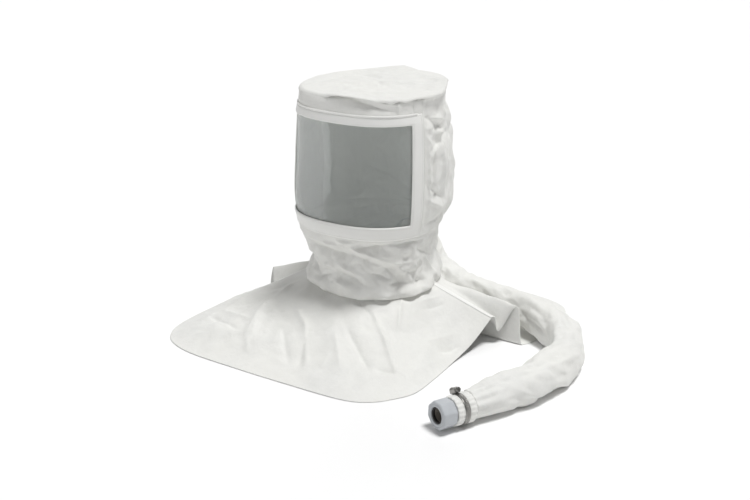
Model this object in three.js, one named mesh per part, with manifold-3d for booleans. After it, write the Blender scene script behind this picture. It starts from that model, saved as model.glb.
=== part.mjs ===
// A supplied-air hood: a head part with a clear lens, a gathered neck, a front and a rear bib,
// and a breathing hose in a cloth sleeve that ends in a clamped connector.
// Millimetres, +Z up, the wearer faces -Y, +X is the wearer's left.
// Heights are given above the surface that the bibs spread on. The finished group is then set
// down so that its origin is the head's seat, at the middle of the crown's underside.

import * as THREE from 'three';
import { mergeVertices } from 'three/addons/utils/BufferGeometryUtils.js';
import Module from 'manifold-3d';

// Walls and clearances
const CLOTH_WALL = 1.6;
const TAPE_WALL = 1.8;
const LENS_WALL = 1.0;
const GAP = 0.3;
const LENS_CLEARANCE = 0.6;

// Heights of the head part and neck
const RIM_HEIGHT = 403;
const CROWN_RISE = 9;
const CROWN_PEAK = 7;
const CROWN_RIPPLE = 1.6;
const CROWN_RIPPLE_SHARE = 0.95;
const CROWN_PEAK_PLACE = { across: 0.12, along: 0.42, spread: 0.31 };
const CROWN_FLAT_SHARE = 0.985;
const CROWN_OVERHANG = 1.6;
const LIP_DROP = 4;
const BROW_DEPTH = 23;
const TOP_BORDER = 15;
const WINDOW_BOTTOM_HEIGHT = 208;
const TAPE_BOTTOM_HEIGHT = 184.5;
const NECK_SEAM_DROP = 1.5;
const NECK_TOP_HEIGHT = TAPE_BOTTOM_HEIGHT - NECK_SEAM_DROP;
const SEAM_HEIGHT = 88;
const SEAM_TILT = 9;

// Plan sizes of the head part, from its upright axis
const HEAD_HALF_WIDTH = 121;
const HEAD_FRONT = 114;
const HEAD_BACK = 132;

// The window and its tape, in degrees either side of straight ahead
const WINDOW_TURN = 60;
const TAPE_TURN = 70;
const LENS_TUCK = 5;
const PIPING_HEIGHT = 3.2;
const PIPING_DEPTH = 1.5;

// The bibs
const BIB_HALF_WIDTH = 250;
const BIB_FRONT = 263;
const BIB_BACK = 262;

// The hose, its cuff, clamp and connector
const HOSE_RADIUS = 25;
const INLET_RADIUS = 20;
const INLET_WALL = 2;
const INLET_DEPTH = 16;
const INLET_REACH = 20;
const NUT_RADIUS = 20.5;
const NUT_LENGTH = 23;
const NUT_CHAMFER = 1.6;
const BORE_RADIUS = 9.4;
const MOUTH_RADIUS = 12.3;
const MOUTH_DEPTH = 6;
const GASKET_LENGTH = 4;
const GASKET_INSET = 1.2;
const BARREL_RADIUS = 17.5;
const BARREL_LENGTH = 27;
const CUFF_WALL = 3.2;
const CUFF_GAP = 1;
const CUFF_LENGTH = 31;
const CUFF_MOUTH_FLARE = 1.2;
const BAND_WIDTH = 8.5;
const BAND_WALL = 0.9;
const BAND_START = 11;
const HOUSING_LENGTH = 13;
const HOUSING_HEIGHT = 8.4;
const SCREW_RADIUS = 2.5;
const SCREW_HEAD_RADIUS = 3.9;
const SCREW_HEAD_LENGTH = 4;
const HOUSING_TURN = 28;

// Section table of the head part and neck: height above the surface as a share of RIM_HEIGHT,
// half width, front and back as shares of their sizes, and how square the plan is, ahead
// and to the rear
const SECTIONS = [
  { height: 0.200, width: 0.860, front: 0.810, back: 0.735, square: 2.1, rear: 2.10 },
  { height: 0.225, width: 0.885, front: 0.880, back: 0.770, square: 2.1, rear: 2.10 },
  { height: 0.255, width: 0.880, front: 0.915, back: 0.780, square: 2.1, rear: 2.10 },
  { height: 0.310, width: 0.818, front: 0.915, back: 0.765, square: 2.1, rear: 2.10 },
  { height: 0.372, width: 0.835, front: 0.912, back: 0.750, square: 2.1, rear: 2.10 },
  { height: 0.420, width: 0.858, front: 0.920, back: 0.765, square: 2.2, rear: 2.10 },
  { height: 0.446, width: 0.875, front: 0.945, back: 0.800, square: 2.3, rear: 2.20 },
  { height: 0.470, width: 0.912, front: 0.985, back: 0.845, square: 2.3, rear: 2.20 },
  { height: 0.558, width: 0.975, front: 1.000, back: 0.940, square: 2.3, rear: 2.30 },
  { height: 0.720, width: 1.000, front: 1.000, back: 1.000, square: 2.3, rear: 2.30 },
  { height: 0.820, width: 0.983, front: 1.000, back: 0.977, square: 2.4, rear: 2.25 },
  { height: 0.906, width: 0.958, front: 0.991, back: 0.940, square: 2.5, rear: 2.05 },
  { height: 0.943, width: 0.926, front: 0.965, back: 0.894, square: 2.6, rear: 2.00 },
  { height: 1.000, width: 0.926, front: 0.912, back: 0.924, square: 2.6, rear: 2.05 },
];

// Folds, dents and puffs of the side, back and neck. Turn is the place in degrees from the front
// toward the wearer's left, height, length and width are shares of RIM_HEIGHT, slope is how the
// fold runs in degrees from level, rising toward the wearer's left, and depth is a share of
// HEAD_HALF_WIDTH, positive where the cloth puffs out
const FOLDS = [
  { turn: 100, height: 0.870, slope: -35, length: 0.10, width: 0.028, depth: -0.050 },
  { turn: 124, height: 0.845, slope: 20, length: 0.09, width: 0.024, depth: -0.045 },
  { turn: 112, height: 0.800, slope: 55, length: 0.08, width: 0.020, depth: 0.035 },
  { turn: 95, height: 0.700, slope: 84, length: 0.20, width: 0.018, depth: 0.030 },
  { turn: 112, height: 0.660, slope: 96, length: 0.22, width: 0.016, depth: -0.028 },
  { turn: 106, height: 0.512, slope: 5, length: 0.06, width: 0.026, depth: -0.065 },
  { turn: 145, height: 0.780, slope: 70, length: 0.16, width: 0.024, depth: -0.035 },
  { turn: 172, height: 0.640, slope: 92, length: 0.24, width: 0.026, depth: 0.035 },
  { turn: 200, height: 0.820, slope: -50, length: 0.14, width: 0.026, depth: -0.040 },
  { turn: 225, height: 0.600, slope: 80, length: 0.22, width: 0.024, depth: -0.035 },
  { turn: 250, height: 0.760, slope: 100, length: 0.18, width: 0.022, depth: 0.030 },
  { turn: -34, height: 0.372, slope: -22, length: 0.26, width: 0.020, depth: -0.040 },
  { turn: -20, height: 0.398, slope: -20, length: 0.26, width: 0.022, depth: 0.030 },
  { turn: 24, height: 0.412, slope: 18, length: 0.14, width: 0.016, depth: -0.045 },
  { turn: 55, height: 0.392, slope: -25, length: 0.10, width: 0.018, depth: -0.040 },
  { turn: 72, height: 0.350, slope: 60, length: 0.09, width: 0.016, depth: 0.035 },
  { turn: 38, height: 0.300, slope: -30, length: 0.10, width: 0.018, depth: -0.030 },
  { turn: -60, height: 0.290, slope: -8, length: 0.12, width: 0.018, depth: -0.035 },
  { turn: 150, height: 0.300, slope: 10, length: 0.16, width: 0.020, depth: -0.030 },
  { turn: 240, height: 0.320, slope: -15, length: 0.18, width: 0.020, depth: -0.035 },
];

// Gathers of the neck just above its seam, as waves round it
const GATHER_COUNT = 17;
const GATHER_DEPTH = 2.6;
const GATHER_HEIGHT = 24;

// Stations of the front bib, from the wearer's left shoulder round the front to the right one:
// the place on the neck seam in degrees, the hem's place as shares of the half width and of the
// front, the hem's height as a share of the seam's, and how early the cloth falls
const FRONT_STATIONS = [
  { turn: 95, across: 0.812, along: 0.106, height: 0.52, fall: 1.00 },
  { turn: 86, across: 0.768, along: -0.053, height: 0.16, fall: 0.90 },
  { turn: 76, across: 0.748, along: -0.228, height: 0.02, fall: 0.95 },
  { turn: 62, across: 0.760, along: -0.494, height: 0.00, fall: 1.10 },
  { turn: 49, across: 0.756, along: -0.703, height: 0.00, fall: 1.20 },
  { turn: 40, across: 0.690, along: -0.825, height: 0.00, fall: 1.20 },
  { turn: 31, across: 0.598, along: -0.924, height: 0.00, fall: 1.20 },
  { turn: 19, across: 0.440, along: -0.985, height: 0.00, fall: 1.20 },
  { turn: 4, across: 0.060, along: -1.000, height: 0.00, fall: 1.15 },
  { turn: -12, across: -0.340, along: -1.000, height: 0.00, fall: 1.15 },
  { turn: -28, across: -0.730, along: -0.985, height: 0.00, fall: 1.15 },
  { turn: -39, across: -0.930, along: -0.925, height: 0.00, fall: 1.15 },
  { turn: -48, across: -1.025, along: -0.835, height: 0.00, fall: 1.15 },
  { turn: -58, across: -1.070, along: -0.700, height: 0.01, fall: 1.10 },
  { turn: -70, across: -1.062, along: -0.455, height: 0.04, fall: 1.05 },
  { turn: -82, across: -1.000, along: -0.190, height: 0.11, fall: 1.00 },
  { turn: -95, across: -0.885, along: 0.015, height: 0.20, fall: 1.00 },
];

// Stations of the rear bib, from the wearer's left shoulder round the back to the right one
const REAR_STATIONS = [
  { turn: 99, across: 0.826, along: 0.134, height: 0.50, fall: 1.00 },
  { turn: 105, across: 0.845, along: 0.150, height: 0.24, fall: 0.55 },
  { turn: 113, across: 0.925, along: 0.237, height: 0.68, fall: 1.00 },
  { turn: 121, across: 0.985, along: 0.203, height: 0.00, fall: 7.00 },
  { turn: 131, across: 1.035, along: 0.335, height: 0.00, fall: 10.00 },
  { turn: 143, across: 1.050, along: 0.640, height: 0.00, fall: 12.00 },
  { turn: 153, across: 0.950, along: 0.890, height: 0.00, fall: 12.00 },
  { turn: 164, across: 0.640, along: 0.980, height: 0.00, fall: 12.00 },
  { turn: 178, across: 0.100, along: 1.000, height: 0.00, fall: 10.00 },
  { turn: 194, across: -0.480, along: 0.990, height: 0.00, fall: 6.00 },
  { turn: 208, across: -0.900, along: 0.900, height: 0.00, fall: 3.50 },
  { turn: 224, across: -1.050, along: 0.620, height: 0.00, fall: 2.20 },
  { turn: 239, across: -1.040, along: 0.330, height: 0.00, fall: 2.60 },
  { turn: 248, across: -0.985, along: 0.125, height: 0.00, fall: 2.20 },
  { turn: 255, across: -0.944, along: 0.107, height: 0.47, fall: 1.00 },
  { turn: 261, across: -0.895, along: 0.044, height: 0.21, fall: 1.00 },
];

// The turns between which each bib reaches on the neck seam
const FRONT_TURNS = [FRONT_STATIONS[0].turn, FRONT_STATIONS[FRONT_STATIONS.length - 1].turn];
const REAR_TURNS = [REAR_STATIONS[0].turn, REAR_STATIONS[REAR_STATIONS.length - 1].turn];

// Creases of the bibs that run from neck to hem: place on the neck seam and spread in degrees,
// where they begin and end as shares of the way to the hem, and depth as a share of SEAM_HEIGHT
const CREASES = [
  { turn: -62, spread: 4, start: 0.0, end: 0.75, depth: 0.060 },
  { turn: -44, spread: 5, start: 0.0, end: 0.60, depth: -0.055 },
  { turn: -20, spread: 5, start: 0.25, end: 0.80, depth: 0.050 },
  { turn: -3, spread: 5, start: 0.15, end: 0.75, depth: -0.045 },
  { turn: 14, spread: 5, start: 0.10, end: 0.85, depth: 0.055 },
  { turn: 33, spread: 4, start: 0.05, end: 0.70, depth: -0.060 },
  { turn: 58, spread: 6, start: 0.10, end: 0.80, depth: 0.050 },
  { turn: 205, spread: 6, start: 0.10, end: 0.80, depth: -0.060 },
  { turn: 228, spread: 6, start: 0.10, end: 0.80, depth: 0.060 },
];

// The hose's chosen route from the inlet at the back of the neck to the cuff
const HOSE_ROUTE = [
  [9.1, 117.5, 124.8], [10.5, 129.5, 117.7], [13, 139, 103], [17, 143, 86], [26, 144, 69],
  [44, 142, 55], [68, 136, 46], [98, 128, 42], [130, 121, 40], [168, 113, 38], [210, 106, 37],
  [248, 101, 32], [284, 86, 28], [314, 58, 26.5], [337, 18, 26], [347, -28, 26], [345, -74, 26],
  [333, -118, 26], [316, -158, 25.6], [301.5, -195.7, 25.3], [293.5, -213.9, 25.2],
];

// The connector's mouth and the way into the hose from there
const CONNECTOR_FACE = new THREE.Vector3(271, -265, 25);
const CONNECTOR_AXIS = new THREE.Vector3(0.40, 0.912, -0.03).normalize();

// How finely the cloth is divided
const NECK_COLUMNS = 54;
const NECK_ROWS = 8;
const SIDE_COLUMNS = 32;
const SIDE_ROWS = 13;
const CROWN_RINGS = 4;
const CROWN_COLUMNS = 48;
const FRONT_COLUMNS = 18;
const LENS_ROWS = 4;
const TAPE_ROWS = 6;
const BIB_ROWS = 9;
const BIB_CROWDING = 1.4;
const BIB_SPLITS = 2;
const HOSE_SIDES = 10;
const HOSE_STEPS = 36;
const ROUND_SIDES = 24;

const SEAT_HEIGHT = RIM_HEIGHT + CROWN_RISE - CLOTH_WALL;
const TAPE_TOP_HEIGHT = RIM_HEIGHT - BROW_DEPTH;
const WINDOW_TOP_HEIGHT = TAPE_TOP_HEIGHT - TOP_BORDER;

// Colours and surfaces
const cloth = new THREE.MeshStandardMaterial({ color: 0xe9eae6, roughness: 0.75, metalness: 0 });
const tape = new THREE.MeshStandardMaterial({ color: 0xf0f0ec, roughness: 0.7, metalness: 0 });
const clear = new THREE.MeshStandardMaterial({
  color: 0xb9c4c0, roughness: 0.08, metalness: 0, transparent: true, opacity: 0.35,
});
const plastic = new THREE.MeshStandardMaterial({ color: 0xc9cccd, roughness: 0.45, metalness: 0 });
const rubber = new THREE.MeshStandardMaterial({ color: 0x1b1a19, roughness: 0.7, metalness: 0 });
const steel = new THREE.MeshStandardMaterial({ color: 0x8c8c8a, roughness: 0.35, metalness: 1 });

const radians = THREE.MathUtils.degToRad;
const smooth = THREE.MathUtils.smoothstep;

// The value of one column of a table between its rows, on a smooth curve through them
function between(rows, key, column, value) {
  const rising = rows[rows.length - 1][key] > rows[0][key];
  let i = 0;
  while (i < rows.length - 2 && (rising ? value > rows[i + 1][key] : value < rows[i + 1][key])) i += 1;
  const at = (k) => rows[THREE.MathUtils.clamp(k, 0, rows.length - 1)];
  const start = at(i);
  const end = at(i + 1);
  const t = THREE.MathUtils.clamp((value - start[key]) / (end[key] - start[key]), 0, 1);
  const slope = (k) => (at(k + 1)[column] - at(k - 1)[column]) / (at(k + 1)[key] - at(k - 1)[key]);
  const span = end[key] - start[key];
  const h = t * t * (3 - 2 * t);
  const lead = t * (1 - t) * (1 - t) * span * slope(i);
  const trail = t * t * (t - 1) * span * slope(i + 1);
  return start[column] * (1 - h) + end[column] * h + lead + trail;
}

// How far the plain head part and neck reach at a turn and height
function plainReach(turn, height) {
  const share = height / RIM_HEIGHT;
  const across = between(SECTIONS, 'height', 'width', share) * HEAD_HALF_WIDTH;
  const ahead = Math.cos(radians(turn)) > 0;
  const square = between(SECTIONS, 'height', ahead ? 'square' : 'rear', share);
  const along = ahead
    ? between(SECTIONS, 'height', 'front', share) * HEAD_FRONT
    : between(SECTIONS, 'height', 'back', share) * HEAD_BACK;
  const sine = Math.abs(Math.sin(radians(turn))) / across;
  const cosine = Math.abs(Math.cos(radians(turn))) / along;
  return (sine ** square + cosine ** square) ** (-1 / square);
}

function seamHeight(turn) {
  return SEAM_HEIGHT - SEAM_TILT * Math.cos(radians(turn));
}

// Folds fade out at every sewn edge, so that neighbouring panels still meet
function foldRoom(turn, height) {
  const wrapped = Math.abs(((turn + 540) % 360) - 180);
  if (height > NECK_TOP_HEIGHT) {
    const fromTape = smooth(wrapped, TAPE_TURN, TAPE_TURN + 10);
    const fromRim = smooth(RIM_HEIGHT - height, 0, 14);
    const fromNeck = smooth(height - NECK_TOP_HEIGHT, 0, 14);
    return fromTape * fromRim * fromNeck;
  }
  const fromTop = smooth(NECK_TOP_HEIGHT - height, 0, 9);
  const fromSeam = smooth(height - seamHeight(turn), 0, 9);
  const fromInlet = smooth(Math.hypot((wrapped - 180) * 1.9, height - INLET_PLACE.height), 32, 52);
  return fromTop * fromSeam * fromInlet;
}

function foldDepth(turn, height) {
  let depth = 0;
  for (const fold of FOLDS) {
    const away = ((turn - fold.turn + 540) % 360) - 180;
    const across = (radians(away) * HEAD_HALF_WIDTH) / RIM_HEIGHT;
    const up = height / RIM_HEIGHT - fold.height;
    const run = across * Math.cos(radians(fold.slope)) + up * Math.sin(radians(fold.slope));
    const off = up * Math.cos(radians(fold.slope)) - across * Math.sin(radians(fold.slope));
    const shape = Math.exp(-((off / fold.width) ** 2) - (2 * run / fold.length) ** 2);
    depth += fold.depth * HEAD_HALF_WIDTH * shape;
  }
  const above = height - seamHeight(turn);
  const begins = smooth(above, 0, GATHER_HEIGHT / 3);
  const ends = 1 - smooth(above, GATHER_HEIGHT / 2, GATHER_HEIGHT * 2);
  depth += GATHER_DEPTH * begins * ends * Math.cos(radians(turn * GATHER_COUNT));
  return depth;
}

// The inlet for the hose at the back of the neck: where its axis meets the wall, and its aim
const INLET_PLACE = { turn: 176, height: 135 };
const INLET_AIM = new THREE.Vector3(0.10, 0.85, -0.50).normalize();

function onHead(turn, height, out) {
  const reach = plainReach(turn, height) + foldDepth(turn, height) * foldRoom(turn, height) + out;
  return new THREE.Vector3(reach * Math.sin(radians(turn)), -reach * Math.cos(radians(turn)), height);
}

// A body from points and triangles: shared points merged, empty triangles dropped, faces outward
function body(points, triangles) {
  const loose = new THREE.BufferGeometry().setFromPoints(points);
  loose.setIndex(triangles);
  const merged = mergeVertices(loose, 1e-4);
  const index = merged.index.array;
  const kept = [];
  const place = merged.attributes.position;
  const corner = [new THREE.Vector3(), new THREE.Vector3(), new THREE.Vector3()];
  let volume = 0;
  for (let i = 0; i < index.length; i += 3) {
    const [a, b, c] = [index[i], index[i + 1], index[i + 2]];
    if (a !== b && b !== c && c !== a) {
      kept.push(a, b, c);
      [a, b, c].forEach((k, n) => corner[n].fromBufferAttribute(place, k));
      volume += corner[0].dot(corner[1].cross(corner[2]));
    }
  }
  if (volume < 0) kept.reverse();
  merged.setIndex(kept);
  return merged;
}

// A sheet of cloth from two matching grids of points, one for each side
function sheet(outside, inside, wraps) {
  const rows = outside.length;
  const columns = outside[0].length;
  const spans = wraps ? columns : columns - 1;
  const at = (side, i, j) => (side * rows + i) * columns + (j % columns);
  const triangles = [];
  const quad = (a, b, c, d) => triangles.push(a, b, c, a, c, d);
  for (let j = 0; j < spans; j += 1) {
    for (let i = 0; i < rows - 1; i += 1) {
      quad(at(0, i, j), at(0, i, j + 1), at(0, i + 1, j + 1), at(0, i + 1, j));
      quad(at(1, i, j), at(1, i + 1, j), at(1, i + 1, j + 1), at(1, i, j + 1));
    }
    quad(at(0, 0, j), at(1, 0, j), at(1, 0, j + 1), at(0, 0, j + 1));
    quad(at(0, rows - 1, j), at(0, rows - 1, j + 1), at(1, rows - 1, j + 1), at(1, rows - 1, j));
  }
  for (let i = 0; i < rows - 1 && !wraps; i += 1) {
    quad(at(0, i, 0), at(0, i + 1, 0), at(1, i + 1, 0), at(1, i, 0));
    quad(at(0, i, spans), at(1, i, spans), at(1, i + 1, spans), at(0, i + 1, spans));
  }
  return body([...outside.flat(), ...inside.flat()], triangles);
}

function steps(count, make) {
  return Array.from({ length: count + 1 }, (_, i) => make(i / count));
}

// A panel of the head part between two turns and two heights, its wall measured inward
function headPanel(turns, heights, columns, rows, wall, out = 0) {
  const grid = (offset) => steps(rows, (v) => steps(columns, (u) => {
    const turn = THREE.MathUtils.lerp(turns[0], turns[1], u);
    return onHead(turn, THREE.MathUtils.lerp(heights[0], heights[1], v), offset);
  }));
  return sheet(grid(out), grid(out - wall), false);
}

const EDGE_TURN = THREE.MathUtils.radToDeg(GAP / HEAD_HALF_WIDTH);
const LENS_TURN = WINDOW_TURN + THREE.MathUtils.radToDeg(LENS_TUCK / HEAD_HALF_WIDTH);

// How far the soft crown stands above its plain dome: a low peak behind the middle, and ripples
function crownSwell(x, y) {
  const { across, along, spread } = CROWN_PEAK_PLACE;
  const away = Math.hypot(x - across * HEAD_HALF_WIDTH, y - along * HEAD_BACK) / (spread * HEAD_HALF_WIDTH);
  const wave = (2 * Math.PI) / (CROWN_RIPPLE_SHARE * HEAD_HALF_WIDTH);
  return CROWN_PEAK * Math.exp(-(away ** 2)) + CROWN_RIPPLE * Math.sin(x * wave) * Math.cos(y * wave);
}

function crown() {
  const turns = Array.from({ length: CROWN_COLUMNS }, (_, j) => (360 * j) / CROWN_COLUMNS);
  const at = (turn, reach, height) => (
    new THREE.Vector3(reach * Math.sin(radians(turn)), -reach * Math.cos(radians(turn)), height)
  );
  // A ring at a share of the rim's reach, moved out and up
  const ring = (share, out, up) => turns.map((turn) => {
    const point = at(turn, plainReach(turn, RIM_HEIGHT) * share + out, RIM_HEIGHT + up);
    const calm = smooth(share, 0, 0.3) * (1 - smooth(share, 0.72, 0.98));
    point.z += CROWN_RISE * (1 - share ** 2.4) + crownSwell(point.x, point.y) * calm;
    return point;
  });
  const lip = (out) => turns.map((turn) => {
    const height = RIM_HEIGHT - LIP_DROP;
    return at(turn, plainReach(turn, height) + out, height);
  });
  const lift = CLOTH_WALL + GAP;
  const outside = steps(CROWN_RINGS, (u) => (
    ring(CROWN_FLAT_SHARE * Math.sqrt(u), 0, lift * smooth(u, 0.5, 1))
  ));
  const inside = outside.map((points) => points.map((p) => new THREE.Vector3(p.x, p.y, p.z - CLOTH_WALL)));
  outside.push(ring(1, CROWN_OVERHANG, lift - 2 * GAP), lip(CLOTH_WALL + 2 * GAP));
  inside.push(ring(1, 2 * GAP, GAP), lip(2 * GAP));
  return sheet(outside, inside, true);
}

function neck() {
  const ring = (heightAt, offset) => Array.from({ length: NECK_COLUMNS }, (_, j) => {
    const turn = (360 * j) / NECK_COLUMNS;
    return onHead(turn, heightAt(turn), offset);
  });
  const tucked = (turn) => seamHeight(turn) - 2 * CLOTH_WALL;
  const grid = (offset) => [
    ...steps(NECK_ROWS, (v) => (
      ring((turn) => THREE.MathUtils.lerp(NECK_TOP_HEIGHT, seamHeight(turn), v), offset)
    )),
    ring(tucked, offset),
  ];
  return sheet(grid(0), grid(-CLOTH_WALL), true);
}

// The border tape round the window: one closed loop from its outer to its inner edge
function windowTape() {
  const corners = (turn, top, bottom) => [[-turn, top], [turn, top], [turn, bottom], [-turn, bottom]];
  const counts = [FRONT_COLUMNS, TAPE_ROWS, FRONT_COLUMNS, TAPE_ROWS];
  const loop = (turn, top, bottom, out) => {
    const corner = corners(turn, top, bottom);
    return counts.flatMap((count, side) => steps(count, (u) => {
      const [fromTurn, fromHeight] = corner[side];
      const [toTurn, toHeight] = corner[(side + 1) % 4];
      const height = THREE.MathUtils.lerp(fromHeight, toHeight, u);
      return onHead(THREE.MathUtils.lerp(fromTurn, toTurn, u), height, out);
    }).slice(0, count));
  };
  const outer = [TAPE_TURN - EDGE_TURN, TAPE_TOP_HEIGHT, TAPE_BOTTOM_HEIGHT];
  const overLens = [LENS_TURN, WINDOW_TOP_HEIGHT + LENS_TUCK, WINDOW_BOTTOM_HEIGHT - LENS_TUCK];
  const inner = [WINDOW_TURN, WINDOW_TOP_HEIGHT, WINDOW_BOTTOM_HEIGHT];
  const grid = (out) => [loop(...outer, out), loop(...overLens, out), loop(...inner, out)];
  return sheet(grid(0), grid(-TAPE_WALL), true);
}

function lens() {
  const heights = [WINDOW_BOTTOM_HEIGHT - LENS_TUCK, WINDOW_TOP_HEIGHT + LENS_TUCK];
  const depth = -TAPE_WALL - LENS_CLEARANCE;
  return headPanel([-LENS_TURN, LENS_TURN], heights, FRONT_COLUMNS, LENS_ROWS, LENS_WALL, depth);
}

// A point of the neck seam, where the bibs begin just outside the neck's wall
function neckline(turn) {
  const low = seamHeight(turn);
  return onHead(turn, low, 2 * GAP);
}

function creaseHeight(turn, way) {
  let height = 0;
  for (const crease of CREASES) {
    const away = (turn - crease.turn) / crease.spread;
    const begins = smooth(way, crease.start, crease.start + 0.15);
    const ends = 1 - smooth(way, crease.end - 0.2, crease.end);
    height += crease.depth * SEAM_HEIGHT * Math.exp(-(away ** 2)) * begins * ends;
  }
  return height;
}

// A point of a bib at a turn on the neck seam and a share of the way to the hem
function onBib(stations, length, turn, way) {
  const from = neckline(turn);
  const read = (column) => between(stations, 'turn', column, turn);
  const x = THREE.MathUtils.lerp(from.x, read('across') * BIB_HALF_WIDTH, way);
  const y = THREE.MathUtils.lerp(from.y, read('along') * length, way);
  const hem = Math.max(read('height'), 0) * SEAM_HEIGHT + CLOTH_WALL;
  const fallen = (1 - way) ** Math.max(read('fall'), 0.4);
  const plain = hem + (from.z - hem) * fallen;
  const height = plain + creaseHeight(turn, way) * smooth(plain, CLOTH_WALL, 20);
  return new THREE.Vector3(x, y, Math.max(height, CLOTH_WALL));
}

// Unit directions square to a grid of points, the mean of those of the cells around each point, all
// on the upper side, also where the cloth stands on edge. On the grid's edges they stand upright,
// so that sheets that meet there leave an even gap
function facing(grid) {
  const end = grid[0].length - 1;
  const cells = grid.slice(1).map((row, i) => row.slice(1).map((point, j) => {
    const along = point.clone().sub(grid[i][j + 1]).add(row[j]).sub(grid[i][j]);
    const across = point.clone().sub(row[j]).add(grid[i][j + 1]).sub(grid[i][j]);
    return along.cross(across).normalize();
  }));
  const upward = Math.sign(cells.flat().reduce((sum, direction) => sum + direction.z, 0));
  return grid.map((row, i) => row.map((point, j) => {
    if (i === 0 || j === 0 || j === end) return new THREE.Vector3(0, 0, 1);
    const around = [i - 1, i].flatMap((k) => (cells[k] ? [cells[k][j - 1], cells[k][j]] : []));
    const mean = around.reduce((sum, direction) => sum.add(direction), new THREE.Vector3());
    return mean.normalize().multiplyScalar(upward);
  }));
}

// The turns at which a bib is drawn: its stations' own, and as many between as the split gives
function drawnTurns(stations) {
  const turns = stations.slice(1).flatMap((station, i) => (
    steps(BIB_SPLITS, (u) => THREE.MathUtils.lerp(stations[i].turn, station.turn, u)).slice(0, BIB_SPLITS)
  ));
  return [...turns, stations[stations.length - 1].turn];
}

function bibPanel(stations, length) {
  const turns = drawnTurns(stations);
  const line = (way) => turns.map((turn) => onBib(stations, length, turn, way));
  const outside = steps(BIB_ROWS, (v) => line(v ** BIB_CROWDING));
  const square = facing(outside);
  const inside = outside.map((row, i) => row.map((point, j) => {
    const under = point.clone().addScaledVector(square[i][j], -CLOTH_WALL);
    under.z = Math.max(under.z, 0);
    return under;
  }));
  return sheet(outside, inside, false);
}

// A shoulder tape fills the strip between the edges of the two bibs
function shoulderTape(frontTurn, rearTurn) {
  const outside = steps(BIB_ROWS, (v) => {
    const way = v ** BIB_CROWDING;
    const front = onBib(FRONT_STATIONS, BIB_FRONT, frontTurn, way);
    const rear = onBib(REAR_STATIONS, BIB_BACK, rearTurn, way);
    const inset = GAP / Math.hypot(rear.x - front.x, rear.y - front.y);
    return [inset, 0.5, 1 - inset].map((share) => front.clone().lerp(rear, share));
  });
  const inside = outside.map((row) => row.map((p) => new THREE.Vector3(p.x, p.y, p.z - CLOTH_WALL)));
  return sheet(outside, inside, false);
}

// A body turned round an axis: a closed profile of [radius, distance along the axis] pairs
function turned(profile, origin, axis, sides = ROUND_SIDES) {
  const points = [...profile, profile[0]].map(([radius, along]) => new THREE.Vector2(radius, along));
  const geometry = new THREE.LatheGeometry(points, sides);
  const spin = new THREE.Quaternion().setFromUnitVectors(new THREE.Vector3(0, 1, 0), axis);
  geometry.applyQuaternion(spin);
  geometry.translate(origin.x, origin.y, origin.z);
  return plain(geometry);
}

function plain(geometry) {
  const points = [];
  for (let i = 0; i < geometry.attributes.position.count; i += 1) {
    points.push(new THREE.Vector3().fromBufferAttribute(geometry.attributes.position, i));
  }
  const index = geometry.index ? [...geometry.index.array] : points.map((_, i) => i);
  return body(points, index);
}

const wasm = await Module();
wasm.setup();

function toSolid(geometry) {
  const mesh = new wasm.Mesh({
    numProp: 3,
    vertProperties: new Float32Array(geometry.attributes.position.array),
    triVerts: new Uint32Array(geometry.index.array),
  });
  return new wasm.Manifold(mesh);
}

function fromSolid(solid) {
  const mesh = solid.getMesh();
  const geometry = new THREE.BufferGeometry();
  geometry.setAttribute('position', new THREE.BufferAttribute(new Float32Array(mesh.vertProperties), 3));
  geometry.setIndex([...mesh.triVerts]);
  return geometry;
}

// The inlet ring: a short barrel through the neck's wall
const inletOrigin = onHead(INLET_PLACE.turn, INLET_PLACE.height, 0);

function inletRing() {
  return turned([
    [INLET_RADIUS - INLET_WALL, -INLET_DEPTH],
    [INLET_RADIUS, -INLET_DEPTH],
    [INLET_RADIUS, INLET_REACH],
    [INLET_RADIUS - INLET_WALL, INLET_REACH],
  ], inletOrigin, INLET_AIM);
}

function neckWithInlet() {
  const hole = turned([
    [0, -4 * INLET_RADIUS],
    [INLET_RADIUS + GAP, -4 * INLET_RADIUS],
    [INLET_RADIUS + GAP, 4 * INLET_RADIUS],
    [0, 4 * INLET_RADIUS],
  ], inletOrigin, INLET_AIM);
  return fromSolid(toSolid(neck()).subtract(toSolid(hole)));
}

function alongConnector(distance) {
  return CONNECTOR_FACE.clone().addScaledVector(CONNECTOR_AXIS, distance);
}

function hose() {
  const section = new THREE.Shape(Array.from({ length: HOSE_SIDES }, (_, i) => {
    const turn = (2 * Math.PI * i) / HOSE_SIDES;
    return new THREE.Vector2(HOSE_RADIUS * Math.cos(turn), HOSE_RADIUS * Math.sin(turn));
  }));
  const points = HOSE_ROUTE.map(([x, y, z]) => new THREE.Vector3(x, y, z));
  const route = new THREE.CatmullRomCurve3(points, false, 'centripetal');
  const swept = { steps: HOSE_STEPS, extrudePath: route, bevelEnabled: false };
  return plain(new THREE.ExtrudeGeometry(section, swept));
}

function sleeveCuff() {
  const inner = BARREL_RADIUS + GAP;
  const outer = inner + CUFF_WALL;
  const start = NUT_LENGTH + CUFF_GAP;
  const end = start + CUFF_LENGTH;
  return turned([
    [inner, start],
    [outer, start],
    [outer, end - 8],
    [outer + CUFF_MOUTH_FLARE, end],
    [inner, end],
  ], CONNECTOR_FACE, CONNECTOR_AXIS);
}

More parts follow.
